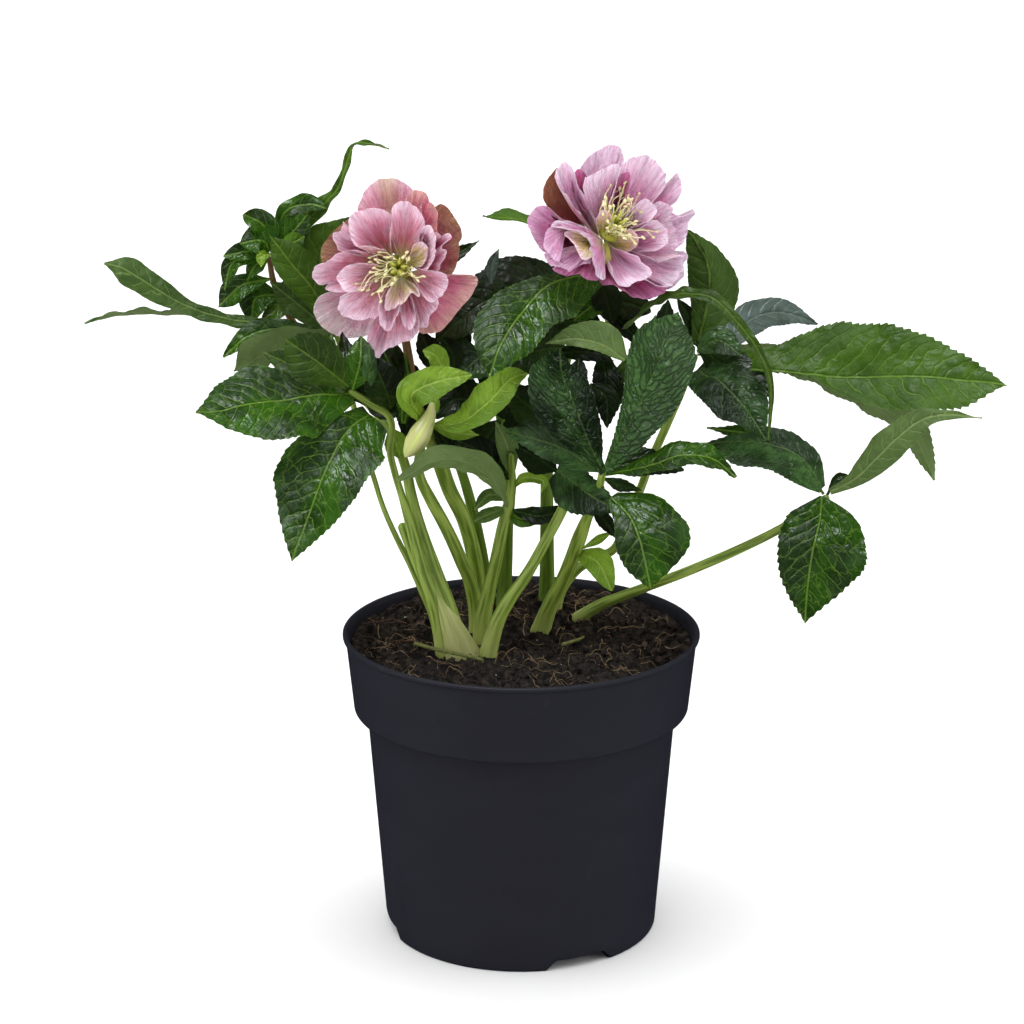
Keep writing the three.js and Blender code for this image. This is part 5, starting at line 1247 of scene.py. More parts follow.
def leaf_materials(under):
    return {skin: leaf_material("leaf_" + skin, *shades(dark, light, vein), under, *finish)
            for skin, (dark, light, vein, *finish) in LEAF_SKINS.items()}


def stem_material(name, low, high, foot, blush, speck=1.0):
    """A juicy stem: soft streaks, tiny dark specks, a paler foot, and a blush where tone is high."""
    material, s = new_material(name)
    place = s.surface("blade")
    along = place.split()[2]
    tone = s.surface("tone", "Fac")
    streaks = s.grain(s.scaled(place, (1.6, 1.6, 0.03)), 1.6, 3.0, 0.5)
    blotch = s.grain(s.scaled(place, (1.0, 1.0, 0.08)), 1.0, 2.0)
    dots = s.cells(s.scaled(place, (3.2, 3.2, 0.8)), 1.0, "F1", "3D")
    sparse = s.grain(s.scaled(place, (1.5, 1.5, 0.3)), 1.0, 1.0)
    color = s.mix(streaks.fade(0.38, 0.62) * 0.9, low, high)
    color = s.mix(along.fade(30.0, 4.0) * 0.6, color, foot)
    color = s.mix(blotch.fade(0.5, 0.75) * 0.3, color, high)
    color = s.mix(tone * streaks.fade(0.2, 0.6), color, blush)
    color = s.mix(dots.fade(0.14, 0.07) * sparse.fade(0.5, 0.6) * 0.8 * speck, color, linear(58, 50, 30))
    s.finish(color, 0.3 + 0.12 * blotch, streaks * 0.12 + blotch * 0.15, Subsurface_Weight=0.1,
             Subsurface_Scale=0.002, Subsurface_Radius=(0.8, 1.0, 0.3))
    return material


# Stems: colours of the low and high streaks, the foot and the blush
STEM_SKINS = {
    "green": ((92, 116, 34), (146, 166, 74), (168, 174, 104), (112, 62, 48)),
    "dark": ((72, 96, 26), (100, 126, 44), (112, 128, 66), (112, 62, 48)),
    "sheath": ((142, 156, 78), (178, 184, 118), (150, 146, 96), (138, 104, 72)),
}
BUD_SHADES = ((206, 222, 124), (232, 242, 168), (216, 226, 146), (170, 150, 110))


def stem_materials():
    return {skin: stem_material("stem_" + skin, *shades(*colours)) for skin, colours in STEM_SKINS.items()}


def petal_material(name, colours, vein, edge, stripe):
    """A soft petal: green-white base, rose throat, pale margin and fine fanned veins."""
    material, s = new_material(name)
    place = s.surface("blade")
    around = place.split()[0]
    across, along, upper = s.surface("share").split()
    tone = s.surface("tone", "Fac")
    streaks = s.grain(s.scaled(place, (0.5, 0.05, 0.0)), 1.0, 3.0, 0.55, 0.6, "2D")
    fine = s.grain(s.scaled(place, (1.15, 0.07, 0.0)), 1.0, 2.0, 0.5, 0.5, "2D")
    lines = abs(streaks - 0.5).fade(0.05, 0.005) * 0.8
    lines = lines.above(abs(fine - 0.5).fade(0.045, 0.0) * 0.6)
    cloud = s.grain(place, 0.13, 3.0, dimensions="2D")
    rim = abs(across).fade(0.72, 1.0)
    stops = list(zip(PETAL_PLACES, colours))
    color = s.node("ShaderNodeValToRGB", {"stops": stops}, {"Fac": along + 0.26 * (cloud - 0.5)})
    color = s.mix(cloud.fade(0.42, 0.75) * 0.3, color, edge)
    color = s.mix(streaks.fade(0.5, 0.75) * 0.3, color, edge)
    color = s.mix(rim * 0.6, color, edge)
    if stripe:
        pale = abs(around).fade(9.0, 1.0) * along.fade(0.1, 0.5) * stripe
        color = s.mix(pale, color, linear(206, 200, 150))
    # Painted shade: a low tone darkens a petal towards the vein colour away from its margin, for petals that
    # lie in shade; a high tone pales it towards the edge colour
    color = s.mix(tone.fade(0.5, 0.0) * (1.0 - rim) * 0.5, color, vein)
    color = s.mix(tone.fade(0.5, 1.0) * 0.4, color, edge)
    color = s.mix(lines * along.fade(0.0, 0.25) * 0.46, color, vein)
    color = s.mix(upper, s.mix(0.3, color, linear(206, 178, 160)), color)
    relief = lines * -0.25 + streaks * 1.1 + s.grain(place, 0.4, 3.0, dimensions="2D") * 1.3
    s.finish(color, 0.48 + 0.1 * cloud, relief, Subsurface_Weight=0.2, Subsurface_Scale=0.002,
             Subsurface_Radius=(1.0, 0.45, 0.55), Specular_IOR_Level=0.3, Sheen_Weight=0.05)
    return material


PETAL_GREEN = (208, 197, 89)
LEFT_VEIN, RIGHT_VEIN = (187, 68, 110), (182, 64, 131)
LEFT_EDGE, RIGHT_EDGE = (252, 224, 244), (252, 228, 250)

# Petals: colours at PETAL_PLACES, their shares of the length; vein and edge colours; and the pale stripe
PETAL_PLACES = (0.0, 0.16, 0.32, 0.6, 1.0)
PETAL_SKINS = {
    "petal_left": ((PETAL_GREEN, (230, 198, 112), (246, 148, 158), (255, 176, 200), (255, 210, 226)),
                   LEFT_VEIN, LEFT_EDGE, 0.0),
    "petal_right": ((PETAL_GREEN, (226, 176, 144), (228, 116, 168), (242, 168, 208), (250, 212, 232)),
                    RIGHT_VEIN, RIGHT_EDGE, 0.0),
    "petal_heart": (((176, 186, 50), (198, 200, 70), (216, 206, 96), (236, 206, 140), (252, 196, 196)),
                    LEFT_VEIN, LEFT_EDGE, 0.0),
    "heart_green": (((182, 180, 55), (191, 188, 64), (197, 193, 76), (201, 188, 95), (208, 178, 123)),
                    (138, 135, 53), (201, 190, 117), 0.0),
    # crimson: dark red petals where the right flower folds inwards, partly their deeper colour and partly
    # painted shade of the folds
    "crimson": (((138, 87, 64), (131, 39, 68), (142, 41, 81), (167, 62, 110), (206, 112, 163)),
                (117, 23, 59), (218, 141, 187), 0.0),
    "deep_rose": ((PETAL_GREEN, (201, 103, 134), (189, 83, 136), (208, 118, 172), (235, 172, 214)),
                  RIGHT_VEIN, (246, 203, 231), 0.0),
    "striped": ((PETAL_GREEN, (235, 145, 153), (244, 153, 172), (252, 176, 195), (252, 193, 212)),
                LEFT_VEIN, (252, 211, 225), 0.6),
    "olive": (((159, 93, 89), (148, 56, 82), (150, 60, 88), (142, 66, 80), (122, 90, 64)),
              (110, 41, 55), (157, 126, 85), 0.0),
    "brown": (((159, 56, 76), (150, 46, 66), (128, 52, 54), (112, 68, 46), (110, 76, 44)),
              (98, 46, 42), (142, 99, 61), 0.0),
    "pale": ((PETAL_GREEN, (226, 150, 172), (234, 158, 188), (244, 190, 212), (250, 222, 234)),
             (214, 112, 146), (250, 238, 240), 0.15),
    "rose": ((PETAL_GREEN, (200, 88, 122), (220, 104, 144), (232, 128, 162), (240, 164, 178)),
             (170, 58, 94), (238, 192, 170), 0.0),
    "blush": ((PETAL_GREEN, (233, 130, 182), (242, 145, 201), (252, 190, 233), (252, 226, 250)),
              RIGHT_VEIN, RIGHT_EDGE, 0.0),
}


def petal_materials():
    return {skin: petal_material(skin, shades(*colours), *shades(vein, edge), stripe)
            for skin, (colours, vein, edge, stripe) in PETAL_SKINS.items()}


# Stamens: colours of the foot and of what is past it
STAMEN_SKINS = {
    "filament": ((176, 174, 66), (240, 232, 186)),
    "anther": ((246, 236, 184), (246, 236, 184)),
    "carpel": ((150, 160, 40), (200, 202, 92)),
}


def stamen_material(name, low, high):
    material, s = new_material(name)
    place = s.surface("blade")
    cloud = s.grain(place, 0.8, 2.0)
    tint = s.mix(place.split()[2].fade(0.0, 8.0), low, high)
    tint = s.mix(cloud.fade(0.3, 0.7) * 0.4, tint, toned(low, 0.75))
    s.finish(tint, 0.5, cloud * 0.1, Subsurface_Weight=0.15, Subsurface_Scale=0.001)
    return material


def stamen_materials():
    return {skin: stamen_material(skin, *shades(*colours)) for skin, colours in STAMEN_SKINS.items()}


def pot_material(base):
    """Satin moulded plastic with a faint grain, soft scuffs and a little dust."""
    material, s = new_material("pot_plastic")
    place = s.node("ShaderNodeTexCoord", {}, {}, 3)
    grain = s.grain(place, 900.0, 2.0)
    waves = s.grain(s.scaled(place, (1.0, 1.0, 3.0)), 22.0, 2.0)
    scuffs = s.grain(s.scaled(place, (1.0, 1.0, 0.35)), 120.0, 4.0, 0.7, 1.0)
    dust = s.grain(place, 520.0, 3.0, 0.7)
    color = s.mix(waves.fade(0.35, 0.7) * 0.3, base, toned(base, 1.2))
    color = s.mix(scuffs.fade(0.66, 0.76) * 0.05, color, linear(120, 118, 118))
    color = s.mix(dust.fade(0.74, 0.82) * 0.1, color, linear(130, 120, 110))
    s.finish(color, 0.46 + 0.1 * waves + 0.08 * scuffs, grain * 0.4 + waves * 1.5, 0.0001,
             Specular_IOR_Level=0.2)
    return material


# What lies on and in the soil: dark and light colours; the dark one also goes into the low places of the
# bump as painted shade
SOIL_SKINS = {
    "peat": ((11, 7, 5), (64, 51, 42)),
    "crumb": ((18, 12, 10), (100, 82, 67)),
    "root": ((112, 92, 66), (164, 142, 110)),
    "rusty": ((92, 58, 40), (130, 90, 64)),
    "stalk": ((88, 96, 44), (128, 130, 70)),
    "grit": ((180, 174, 162), (208, 204, 194)),
}


def soil_material(name, dark, light):
    material, s = new_material(name)
    place = s.node("ShaderNodeTexCoord", {}, {}, 3)
    crumbs = s.grain(place, 260.0, 6.0, 0.7)
    patches = s.grain(place, 60.0, 3.0, 0.6)
    # Painted shade: the crumbs noise that raises the bump also darkens its low places
    color = s.mix(crumbs.fade(0.4, 0.7), dark, light)
    color = s.mix(patches.fade(0.45, 0.7) * 0.5, color, dark)
    s.finish(color, 0.85, crumbs * 2.2 + patches, Specular_IOR_Level=0.25)
    return material


def soil_materials():
    return {skin: soil_material("soil_" + skin, *shades(*colours)) for skin, colours in SOIL_SKINS.items()}


# ---------------------------------------------------------------------------------------------
# Settings

class PotSettings(PropertyGroup):
    """The pot."""
    segments: IntProperty(name="Segments", description="Steps around the pot", default=240, min=48, max=480)
    edge: FloatProperty(name="Edge radius", description="How round the moulded edges are, in mm",
                        default=0.5, min=0.1, max=0.6)
    colour: FloatVectorProperty(name="Plastic", description="Colour of the moulded plastic", subtype="COLOR",
                                size=3, min=0, max=1, default=linear(32, 32, 41))


class SoilSettings(PropertyGroup):
    """The growing medium."""
    relief: FloatProperty(name="Relief", description="Height of the soil's lumps, in mm", default=2.6,
                          min=0, max=4)
    clumps: IntProperty(name="Clumps", description="Loose clumps on the soil", default=1500, min=0, max=4000)
    roots: IntProperty(name="Roots", description="Fine roots and fibres on the soil", default=150,
                       min=0, max=300)


class StemSettings(PropertyGroup):
    """Stems and leaf stalks."""
    sides: IntProperty(name="Sides", description="Faces around a stem", default=18, min=8, max=32)
    ridges: FloatProperty(name="Ridges", default=0.012, min=0, max=0.2,
                          description="Depth of the lengthwise ridges, as a share of the radius")
    flare: FloatProperty(name="Flare", description="How much a stem widens where it leaves the soil",
                         default=0.28, min=0, max=1)


class LeafSettings(PropertyGroup):
    """Leaves and bracts."""
    teeth: FloatProperty(name="Teeth", description="Depth of the serrated margin, in mm", default=0.55,
                         min=0, max=3)
    quilt: FloatProperty(name="Quilting", description="Rise of the blade between its side veins, in mm",
                         default=0.45, min=0, max=1.5)
    under: FloatVectorProperty(name="Underside", description="Colour of the leaves' underside",
                               subtype="COLOR", size=3, min=0, max=1, default=linear(98, 120, 66))


class FlowerSettings(PropertyGroup):
    """Sepals, petals and stamens."""
    ruffle: FloatProperty(name="Ruffle", description="Height of the petals' waves, in mm", default=3.4,
                          min=0, max=6)


class StageSettings(PropertyGroup):
    """Floor, lights and camera."""
    floor: FloatProperty(name="Floor", description="Half width of the floor", default=40, min=5, max=60,
                         unit="LENGTH")
    zenith: FloatProperty(name="Sky above", description="Brightness of the light from straight above",
                          default=1.2, min=0, max=5)
    horizon: FloatProperty(name="Sky at the sides", description="Brightness of the light from the sides",
                           default=0.8, min=0, max=5)
    sides: FloatProperty(name="Side light", description="Brightness of the light from the left and right",
                         default=3.6, min=0, max=5)
    shade: FloatProperty(name="Front shade", description="How much dimmer the sky is in front", default=0.5,
                         min=0, max=1)
    lamp: FloatProperty(name="Lamp", description="Strength of the broad lamps", default=1.4, min=0, max=10)
    lamp_angle: FloatProperty(name="Lamp angle", description="How broad they look from the plant",
                              default=math.radians(60), min=0.01, max=3, subtype="ANGLE")
    sheen: FloatProperty(name="Highlights", description="Strength of the lamp that makes the highlights",
                         default=3.0, min=0, max=10)
    sheen_angle: FloatProperty(name="Highlight angle", description="How broad that one looks",
                               default=math.radians(30), min=0.01, max=3, subtype="ANGLE")


# ---------------------------------------------------------------------------------------------
# Pieces

class OBJECT_OT_hellebore_pot(Operator):
    """Make the nursery pot"""
    bl_idname = "hellebore.pot"
    bl_label = "Pot"

    def execute(self, context):
        settings = context.scene.hellebore_pot
        rings = pot_rings(settings.segments, settings.edge)
        plastic = pot_material(tuple(settings.colour))
        make_piece("nursery_pot", [lofted(rings, rings)], {0: plastic}, ["pot"], sharp=35)
        return {"FINISHED"}


def inner_radius(z):
    if z < BAND_BOTTOM + WALL:
        return np.interp(z, (0, BAND_BOTTOM + WALL), (BODY_RADIUS_LOW - WALL, BODY_RADIUS_TOP - WALL))
    return np.interp(z, (BAND_BOTTOM, POT_HEIGHT), (BAND_RADIUS_LOW - WALL, BAND_RADIUS_HIGH - WALL))


def body_radius(z):
    return np.interp(z, (BEVEL, BAND_BOTTOM), (BODY_RADIUS_LOW, BODY_RADIUS_TOP))


def rounded(corners, edge):
    """Corners of an outline, each cut into a short arc of about the given size."""
    outline = [corners[0]]
    for before, corner, after in zip(corners, corners[1:], corners[2:]):
        before, corner, after = (np.array(p, float) for p in (before, corner, after))
        reach = min(edge, 0.45 * np.linalg.norm(before - corner), 0.45 * np.linalg.norm(after - corner))
        start = corner + unit(before - corner) * reach
        end = corner + unit(after - corner) * reach
        for t in (0, 0.33, 0.67, 1):
            outline.append(tuple((1 - t) ** 2 * start + 2 * t * (1 - t) * corner + t ** 2 * end))
    return outline + [corners[-1]]


def pot_rings(segments, edge):
    """Rings of the pot's outline, one per corner, with the drainage notches cut into its foot."""
    corners = [
        (AXIS_HOLE, 0), (PAD_RADIUS, 0), (PAD_RADIUS + CHANNEL_SLOPE, CHANNEL_HEIGHT),
        (FOOT_RADIUS - FOOT_RING - SMALL_BEVEL, CHANNEL_HEIGHT), (FOOT_RADIUS - FOOT_RING, 0),
        (FOOT_RADIUS, 0), (BODY_RADIUS_LOW, BEVEL), *((body_radius(z), z) for z in RINGS_ABOVE_NOTCH),
        (BODY_RADIUS_TOP, BAND_BOTTOM), (BAND_RADIUS_LOW - SMALL_BEVEL, BAND_BOTTOM),
        (BAND_RADIUS_LOW, BAND_BOTTOM + BEVEL), (BAND_RADIUS_HIGH, POT_HEIGHT - LIP - SMALL_BEVEL),
        (RIM_RADIUS, POT_HEIGHT - LIP), (RIM_RADIUS, POT_HEIGHT - SMALL_BEVEL),
        (RIM_RADIUS - SMALL_BEVEL, POT_HEIGHT), (RIM_RADIUS - LIP, POT_HEIGHT),
        (inner_radius(POT_HEIGHT - LIP), POT_HEIGHT - LIP),
        (inner_radius(BAND_BOTTOM + WALL), BAND_BOTTOM + WALL), (BODY_RADIUS_TOP - WALL, BAND_BOTTOM + WALL),
        (inner_radius(NOTCH_HEIGHT + WALL), NOTCH_HEIGHT + WALL), (inner_radius(FLOOR_TOP), FLOOR_TOP),
        (AXIS_HOLE, FLOOR_TOP),
    ]
    outline = np.array(rounded(corners, edge))
    half = NOTCH_SPAN / 2
    sides = [heading + way * (half + off) for heading in NOTCH_HEADINGS for way in (-1, 1)
             for off in (-NOTCH_SLANT, NOTCH_SLANT)]
    headings = np.unique(np.concatenate([np.linspace(0, 360, segments, endpoint=False), np.mod(sides, 360)]))
    away = np.min([np.abs((headings - h + 180) % 360 - 180) for h in NOTCH_HEADINGS], axis=0)
    ramp = np.clip((half + NOTCH_SLANT - away) / (2 * NOTCH_SLANT), 0, 1)
    turn = np.radians(headings - 90)
    radius, z = outline[:, 0:1], outline[:, 1:2]
    at_foot = (radius > BODY_RADIUS_LOW - NOTCH_DEPTH) & (z < NOTCH_HEIGHT + WALL)
    lifted = np.where(z > NOTCH_HEIGHT - 1, NOTCH_HEIGHT + WALL, NOTCH_HEIGHT)
    lifted = np.where((radius < inner_radius(FLOOR_TOP) + 0.1) & (z > 3.5), NOTCH_HEIGHT + WALL, lifted)
    height = np.where(at_foot, z + (lifted - z) * ramp[None, :], z)
    return np.stack([radius * np.cos(turn), radius * np.sin(turn), height], -1)


def soil_top(x, y, relief):
    """Height of the soil's surface."""
    places = np.stack([x, y], -1)
    lumps = 0.5 * noise(places, 13, 3) + 0.4 * noise(places, 5.2, 4) + 0.45 * noise(places, 2.6, 5)
    lumps = lumps + 0.35 * np.abs(noise(places, 7.5, 6)) + 0.3 * noise(places, 1.5, 7)
    return SOIL_LEVEL + SOIL_LEAN * y - 0.5 + relief * lumps


class OBJECT_OT_hellebore_soil(Operator):
    """Make the growing medium with its clumps, fine roots and fallen stalks"""
    bl_idname = "hellebore.soil"
    bl_label = "Growing medium"

    def execute(self, context):
        settings = context.scene.hellebore_soil
        chance = np.random.default_rng(SOIL_SEED)
        solids = [soil_body(settings.relief)]
        solids += [clump(chance, settings.relief) for _ in range(settings.clumps)]
        solids += [fibre(chance, settings.relief) for _ in range(settings.roots)]
        solids += [grit(chance, settings.relief) for _ in range(GRIT_GRAINS)]
        for points, radius in FALLEN_STALKS:
            solids.append(tube(at(points), [radius, radius, 0.5 * radius], 8, 1.5, skin="stalk"))
        make_piece("growing_medium", solids, soil_materials(), ["soil"], sharp=32)
        return {"FINISHED"}


def soil_body(relief):
    """The rootball: a rough top inside the pot's wall, and plain sides down to the pot's floor."""
    turn = np.linspace(0, 2 * np.pi, 320, endpoint=False)
    rings = []
    for radius in np.concatenate([[0.02, 1.2], np.arange(2, 81, 0.95)]):
        x, y = radius * np.cos(turn), radius * np.sin(turn)
        limit = np.minimum(1, (inner_radius(SOIL_LEVEL) - GAP) / max(radius, 1))
        x, y = x * limit, y * limit
        rings.append(np.stack([x, y, soil_top(x, y, relief)], -1))
    ledge = BAND_BOTTOM + WALL + GAP
    bottom = FLOOR_TOP + GAP
    below = [(inner_radius(130) - GAP, 130), (inner_radius(ledge) - GAP, ledge),
             (BODY_RADIUS_TOP - WALL - GAP, ledge), (inner_radius(bottom + 3) - GAP, bottom + 3),
             (inner_radius(bottom) - 4, bottom)]
    for radius, z in below:
        rings.append(np.stack([radius * np.cos(turn), radius * np.sin(turn), np.full_like(turn, z)], -1))
    rings = np.array(rings)
    return lofted(rings, rings, skin="peat")


def random_spot(chance, most=SOIL_SPREAD):
    radius = most * math.sqrt(chance.uniform(0, 1))
    turn = chance.uniform(0, 2 * np.pi)
    return radius * math.cos(turn), radius * math.sin(turn)


def lump(centre, size, chance, skin, rings=5, sides=6):
    """A rough, angular, closed lump."""
    pole = np.linspace(0.05, 0.95, rings) * np.pi
    turn = turns(sides) + chance.uniform(0, 6)
    ball = np.stack([np.sin(pole)[:, None] * np.cos(turn), np.sin(pole)[:, None] * np.sin(turn),
                     np.broadcast_to(np.cos(pole)[:, None], (rings, sides))], -1)
    ball = ball * (1 + 0.28 * chance.normal(0, 1, (rings, sides, 1)).clip(-1.5, 1.5))
    spin, _ = np.linalg.qr(chance.normal(0, 1, (3, 3)))
    shape = (ball * size * chance.uniform(0.5, 1.3, 3)) @ spin
    return lofted(shape + centre, ball * size, skin=skin, tone=chance.uniform(0, 1))


def clump(chance, relief):
    x, y = random_spot(chance)
    size = chance.uniform(0.4, 1.0) + (chance.uniform(0, 1) > 0.9) * chance.uniform(0.5, 1.5)
    z = soil_top(np.array(x), np.array(y), relief) + 0.2 * size
    return lump(np.array((x, y, z)), size, chance, "crumb" if chance.uniform(0, 1) > 0.6 else "peat")


def grit(chance, relief):
    x, y = random_spot(chance)
    z = soil_top(np.array(x), np.array(y), relief) + 0.3
    return lump(np.array((x, y, z)), chance.uniform(0.22, 0.42), chance, "grit", 4, 5)


def fibre(chance, relief):
    """A fine root that wanders over the soil, and may arch clear of it."""
    x, y = random_spot(chance, ROOT_SPREAD)
    heading = chance.uniform(0, 2 * np.pi)
    count = int(chance.integers(5, 12))
    arch = max(0, chance.normal(0, 2.6))
    knots = []
    for i in range(count):
        lift = arch * math.sin(math.pi * i / (count - 1)) + chance.uniform(-0.3, 0.9)
        knots.append((x, y, soil_top(np.array(x), np.array(y), relief) + lift))
        heading += chance.normal(0, 0.6)
        x += ROOT_STRIDE * math.cos(heading)
        y += ROOT_STRIDE * math.sin(heading)
        if math.hypot(x, y) > 78 and len(knots) > 1:
            break
    radius = chance.uniform(0.09, 0.26)
    return tube(knots, [radius, radius, 0.4 * radius], 5, 1.0,
                skin="rusty" if chance.uniform(0, 1) > 0.93 else "root")


class OBJECT_OT_hellebore_stems(Operator):
    """Make the stems and leaf stalks"""
    bl_idname = "hellebore.stems"
    bl_label = "Stems and stalks"

    def execute(self, context):
        settings = context.scene.hellebore_stems
        materials = stem_materials()
        skins = {"stem_back": "dark", "stem_back_left": "dark"}
        for seed, (node, (points, radii)) in enumerate(STEMS.items()):
            solids = [stem(points, radii, settings, skins.get(node, "green"), seed, BLUSH.get(node))]
            if node.startswith("stem_flower"):
                solids.append(receptacle(FLOWERS[node.split("_")[-1]]))
            if node == "stem_back_left":
                solids.append(stem(*BACK_SHOOT, settings, "dark", seed + SHOOT_SEED))
            make_piece(piece_name(node), solids, materials, [node], sharp=60)
        clump_stems = [stem(points, radii, settings, "green", CLUMP_SEED + i, BLUSH.get(i))
                       for i, (points, radii) in enumerate(LEFT_CLUMP)]
        clump_stems += [stem(points, radii, settings, "sheath", SHEATH_SEED + i)
                        for i, (points, radii) in enumerate(SHEATHS)]
        make_piece("left_clump_stems", clump_stems, materials, ["stems_left_clump"], sharp=60)
        return {"FINISHED"}


def stem(points, radii, settings, skin, seed, blush=None):
    """A stem that flares at the soil, and turns red between the two shares of its length in blush."""
    route = Route(at(points))
    v, _ = route.spaced(3.0)
    places = route.place(v)
    height = places[:, 2] - (SOIL_LEVEL + SOIL_LEAN * places[:, 1])
    radius = np.interp(v, np.linspace(0, 1, len(radii)), radii)
    flared = radius * (1 + settings.flare * np.exp(-np.maximum(height, 0) / FLARE_HEIGHT))
    solid = tube(places, list(flared), settings.sides, 2.0, settings.ridges, seed, skin=skin, tone=0)
    if blush:
        solid.tone = smooth(solid.blade[:, 2] / solid.blade[:, 2].max(), *blush)
    return solid


def flower_frame(flower):
    """The axis that a flower faces along, two directions across it, and its centre."""
    axis = unit(np.array(flower["axis"], float))
    side = unit(np.cross((1, 0, 0), axis))
    front = np.cross(axis, side)
    centre = at(flower["centre"])[0]
    return axis, side, front, centre


def flower_lathe(flower, count, outline, **values):
    """A round piece on a flower's axis, through places along the axis and the radius at each."""
    axis, side, front, centre = flower_frame(flower)
    around = spokes(turns(count), side, front)
    rings = np.array([centre + axis * far + around * radius for far, radius in outline])
    return lofted(rings, rings - centre, **values)


def receptacle(flower):
    outline = ((-RECEPTACLE_LENGTH - 1, 1.9), (-RECEPTACLE_LENGTH, 2.4), (-2.5, RECEPTACLE_RADIUS),
               (-GAP, RECEPTACLE_RADIUS))
    return flower_lathe(flower, 16, outline, skin="green")


class OBJECT_OT_hellebore_leaves(Operator):
    """Make the leaves, the bracts and the leaflets beside them"""
    bl_idname = "hellebore.leaves"
    bl_label = "Leaves and bracts"

    def execute(self, context):
        settings = context.scene.hellebore_leaves
        materials = leaf_materials(tuple(settings.under))
        common = {"teeth": settings.teeth, "quilt": settings.quilt}
        for seed, (node, shape) in enumerate(LEAVES.items()):
            solids = []
            for i, each in enumerate([shape] + LEAFLETS.get(node, [])):
                tone = 0.5 + 0.3 * math.sin(3.1 * seed + 1.7 * i)
                solids.append(blade(**{**common, "tone": tone, **each}, seed=5 * seed + i))
            make_piece(piece_name(node), solids, materials, [node])
        common.update(teeth=0.15, sway=0.14, ripple=1.1)
        tuft = [blade(**common, **each, seed=TUFT_SEED + i) for i, each in enumerate(TUFT_LEAVES)]
        make_piece("tuft_leaves", tuft, materials, ["leaves_tuft"])
        return {"FINISHED"}


class OBJECT_OT_hellebore_bud(Operator):
    """Make the hanging bud"""
    bl_idname = "hellebore.bud"
    bl_label = "Bud"

    def execute(self, context):
        centres = Route(at([centre for centre, _ in BUD]))
        v = np.linspace(0, 1, 22)
        radius = np.interp(v, np.linspace(0, 1, len(BUD)), [r for _, r in BUD])
        turn = turns(40)
        lobes = 1 + 0.09 * np.abs(np.cos(2.5 * turn)) - 0.05
        around = spokes(turn, BUD_ACROSS, BUD_DEEP)
        rings = centres.place(v)[:, None] + around * (radius[:, None] * lobes)[..., None]
        place = round_places(turn, 40 + 15 * v)
        skin = stem_material("bud_skin", *shades(*BUD_SHADES), speck=0.0)
        make_piece("hanging_bud", [lofted(rings, place)], {0: skin}, ["bud"], sharp=70)
        return {"FINISHED"}


class OBJECT_OT_hellebore_flowers(Operator):
    """Make the sepals, petals and stamens of both flowers"""
    bl_idname = "hellebore.flowers"
    bl_label = "Flowers"

    def execute(self, context):
        settings = context.scene.hellebore_flowers
        petals, stamens = petal_materials(), stamen_materials()
        for number, (name, flower) in enumerate(FLOWERS.items()):
            facing = flower_frame(flower)[0]
            common = {"facing": facing, "frill": 0.3 * settings.ruffle, "pleat": 0.45 * settings.ruffle}
            sepal = {**common, "frill": 0.15 * settings.ruffle, "jag": 0.3}
            for seed, (where, shape) in enumerate(flower["sepals"].items(), SEPAL_SEED + 20 * number):
                solid = petal(**{**sepal, **shape}, seed=seed)
                node = f"sepal_{name}_{where}"
                make_piece(piece_name(node), [solid], petals, [node], sharp=75)
            common["skin"] = f"petal_{name}"
            solids = [petal(**{**common, **shape}, seed=seed)
                      for seed, shape in enumerate(flower["petals"], PETAL_SEED + 30 * number)]
            solids.append(cup(flower))
            make_piece(f"{name}_petals", solids, petals, [f"petals_{name}"], sharp=75)
            make_piece(f"{name}_stamens", stamen_solids(flower, STAMEN_SEED + number), stamens,
                       [f"stamens_{name}"], sharp=70)
        return {"FINISHED"}


def cup(flower):
    """The short base that the petals grow from."""
    sides, outline = 20, ((-0.2, 3.0), (0.4, 5.4), (1.8, 6.2), (CUP_THICKNESS, 5.0))
    return flower_lathe(flower, sides, outline, share=[(0, 0, 1)] * sides * len(outline), skin="heart_green")


def stamen_solids(flower, seed):
    """Green carpels in the middle, and curved filaments with pale anthers that lean to one side."""
    axis, side, front, centre = flower_frame(flower)
    chance = np.random.default_rng(seed)
    lean_x, lean_z, spread = flower["tips"]
    solids = []
    for i in range(CARPELS):
        turn = i / CARPELS * 2 * np.pi + 0.4
        out = side * math.cos(turn) + front * math.sin(turn)
        foot = centre + axis * CUP_THICKNESS + out * 1.5
        knots = [foot] + [foot + axis * far + out * wide for far, wide in ((4, 0.8), (8, 0.6), (12, 2.4))]
        solids.append(tube(knots, [1.7, 1.9, 1.0, 0.5, 0.35], 8, 0.8, skin="carpel"))
    for i in range(flower["stamens"]):
        turn = chance.uniform(0, 2 * np.pi)
        out = side * math.cos(turn) + front * math.sin(turn)
        foot = centre + axis * (CUP_THICKNESS - 0.5) + out * chance.uniform(2.2, 5.0)
        aim = out * chance.uniform(1, 8) + chance.normal(0, 0.55 * spread, 3) + np.array((lean_x, 0, lean_z))
        aim = aim - axis * (aim @ axis)
        aim = aim * min(1, STAMEN_REACH / np.linalg.norm(aim))
        rise = chance.uniform(7, 13) - 0.2 * np.linalg.norm(aim)
        tip = foot + axis * rise + aim
        swerve = np.cross(axis, aim) * chance.normal(0, 0.16) + chance.normal(0, 0.5, 3)
        low = foot + axis * rise * 0.45 + aim * 0.15
        high = foot + axis * rise * 0.85 + aim * 0.6 + swerve
        knots = [foot, low, high, tip]
        solids.append(tube(knots, [0.36, 0.3, 0.26], 6, 1.3, skin="filament"))
        solids.append(anther(tip, unit(aim + axis * 2 + chance.normal(0, 3, 3)), chance))
    return solids


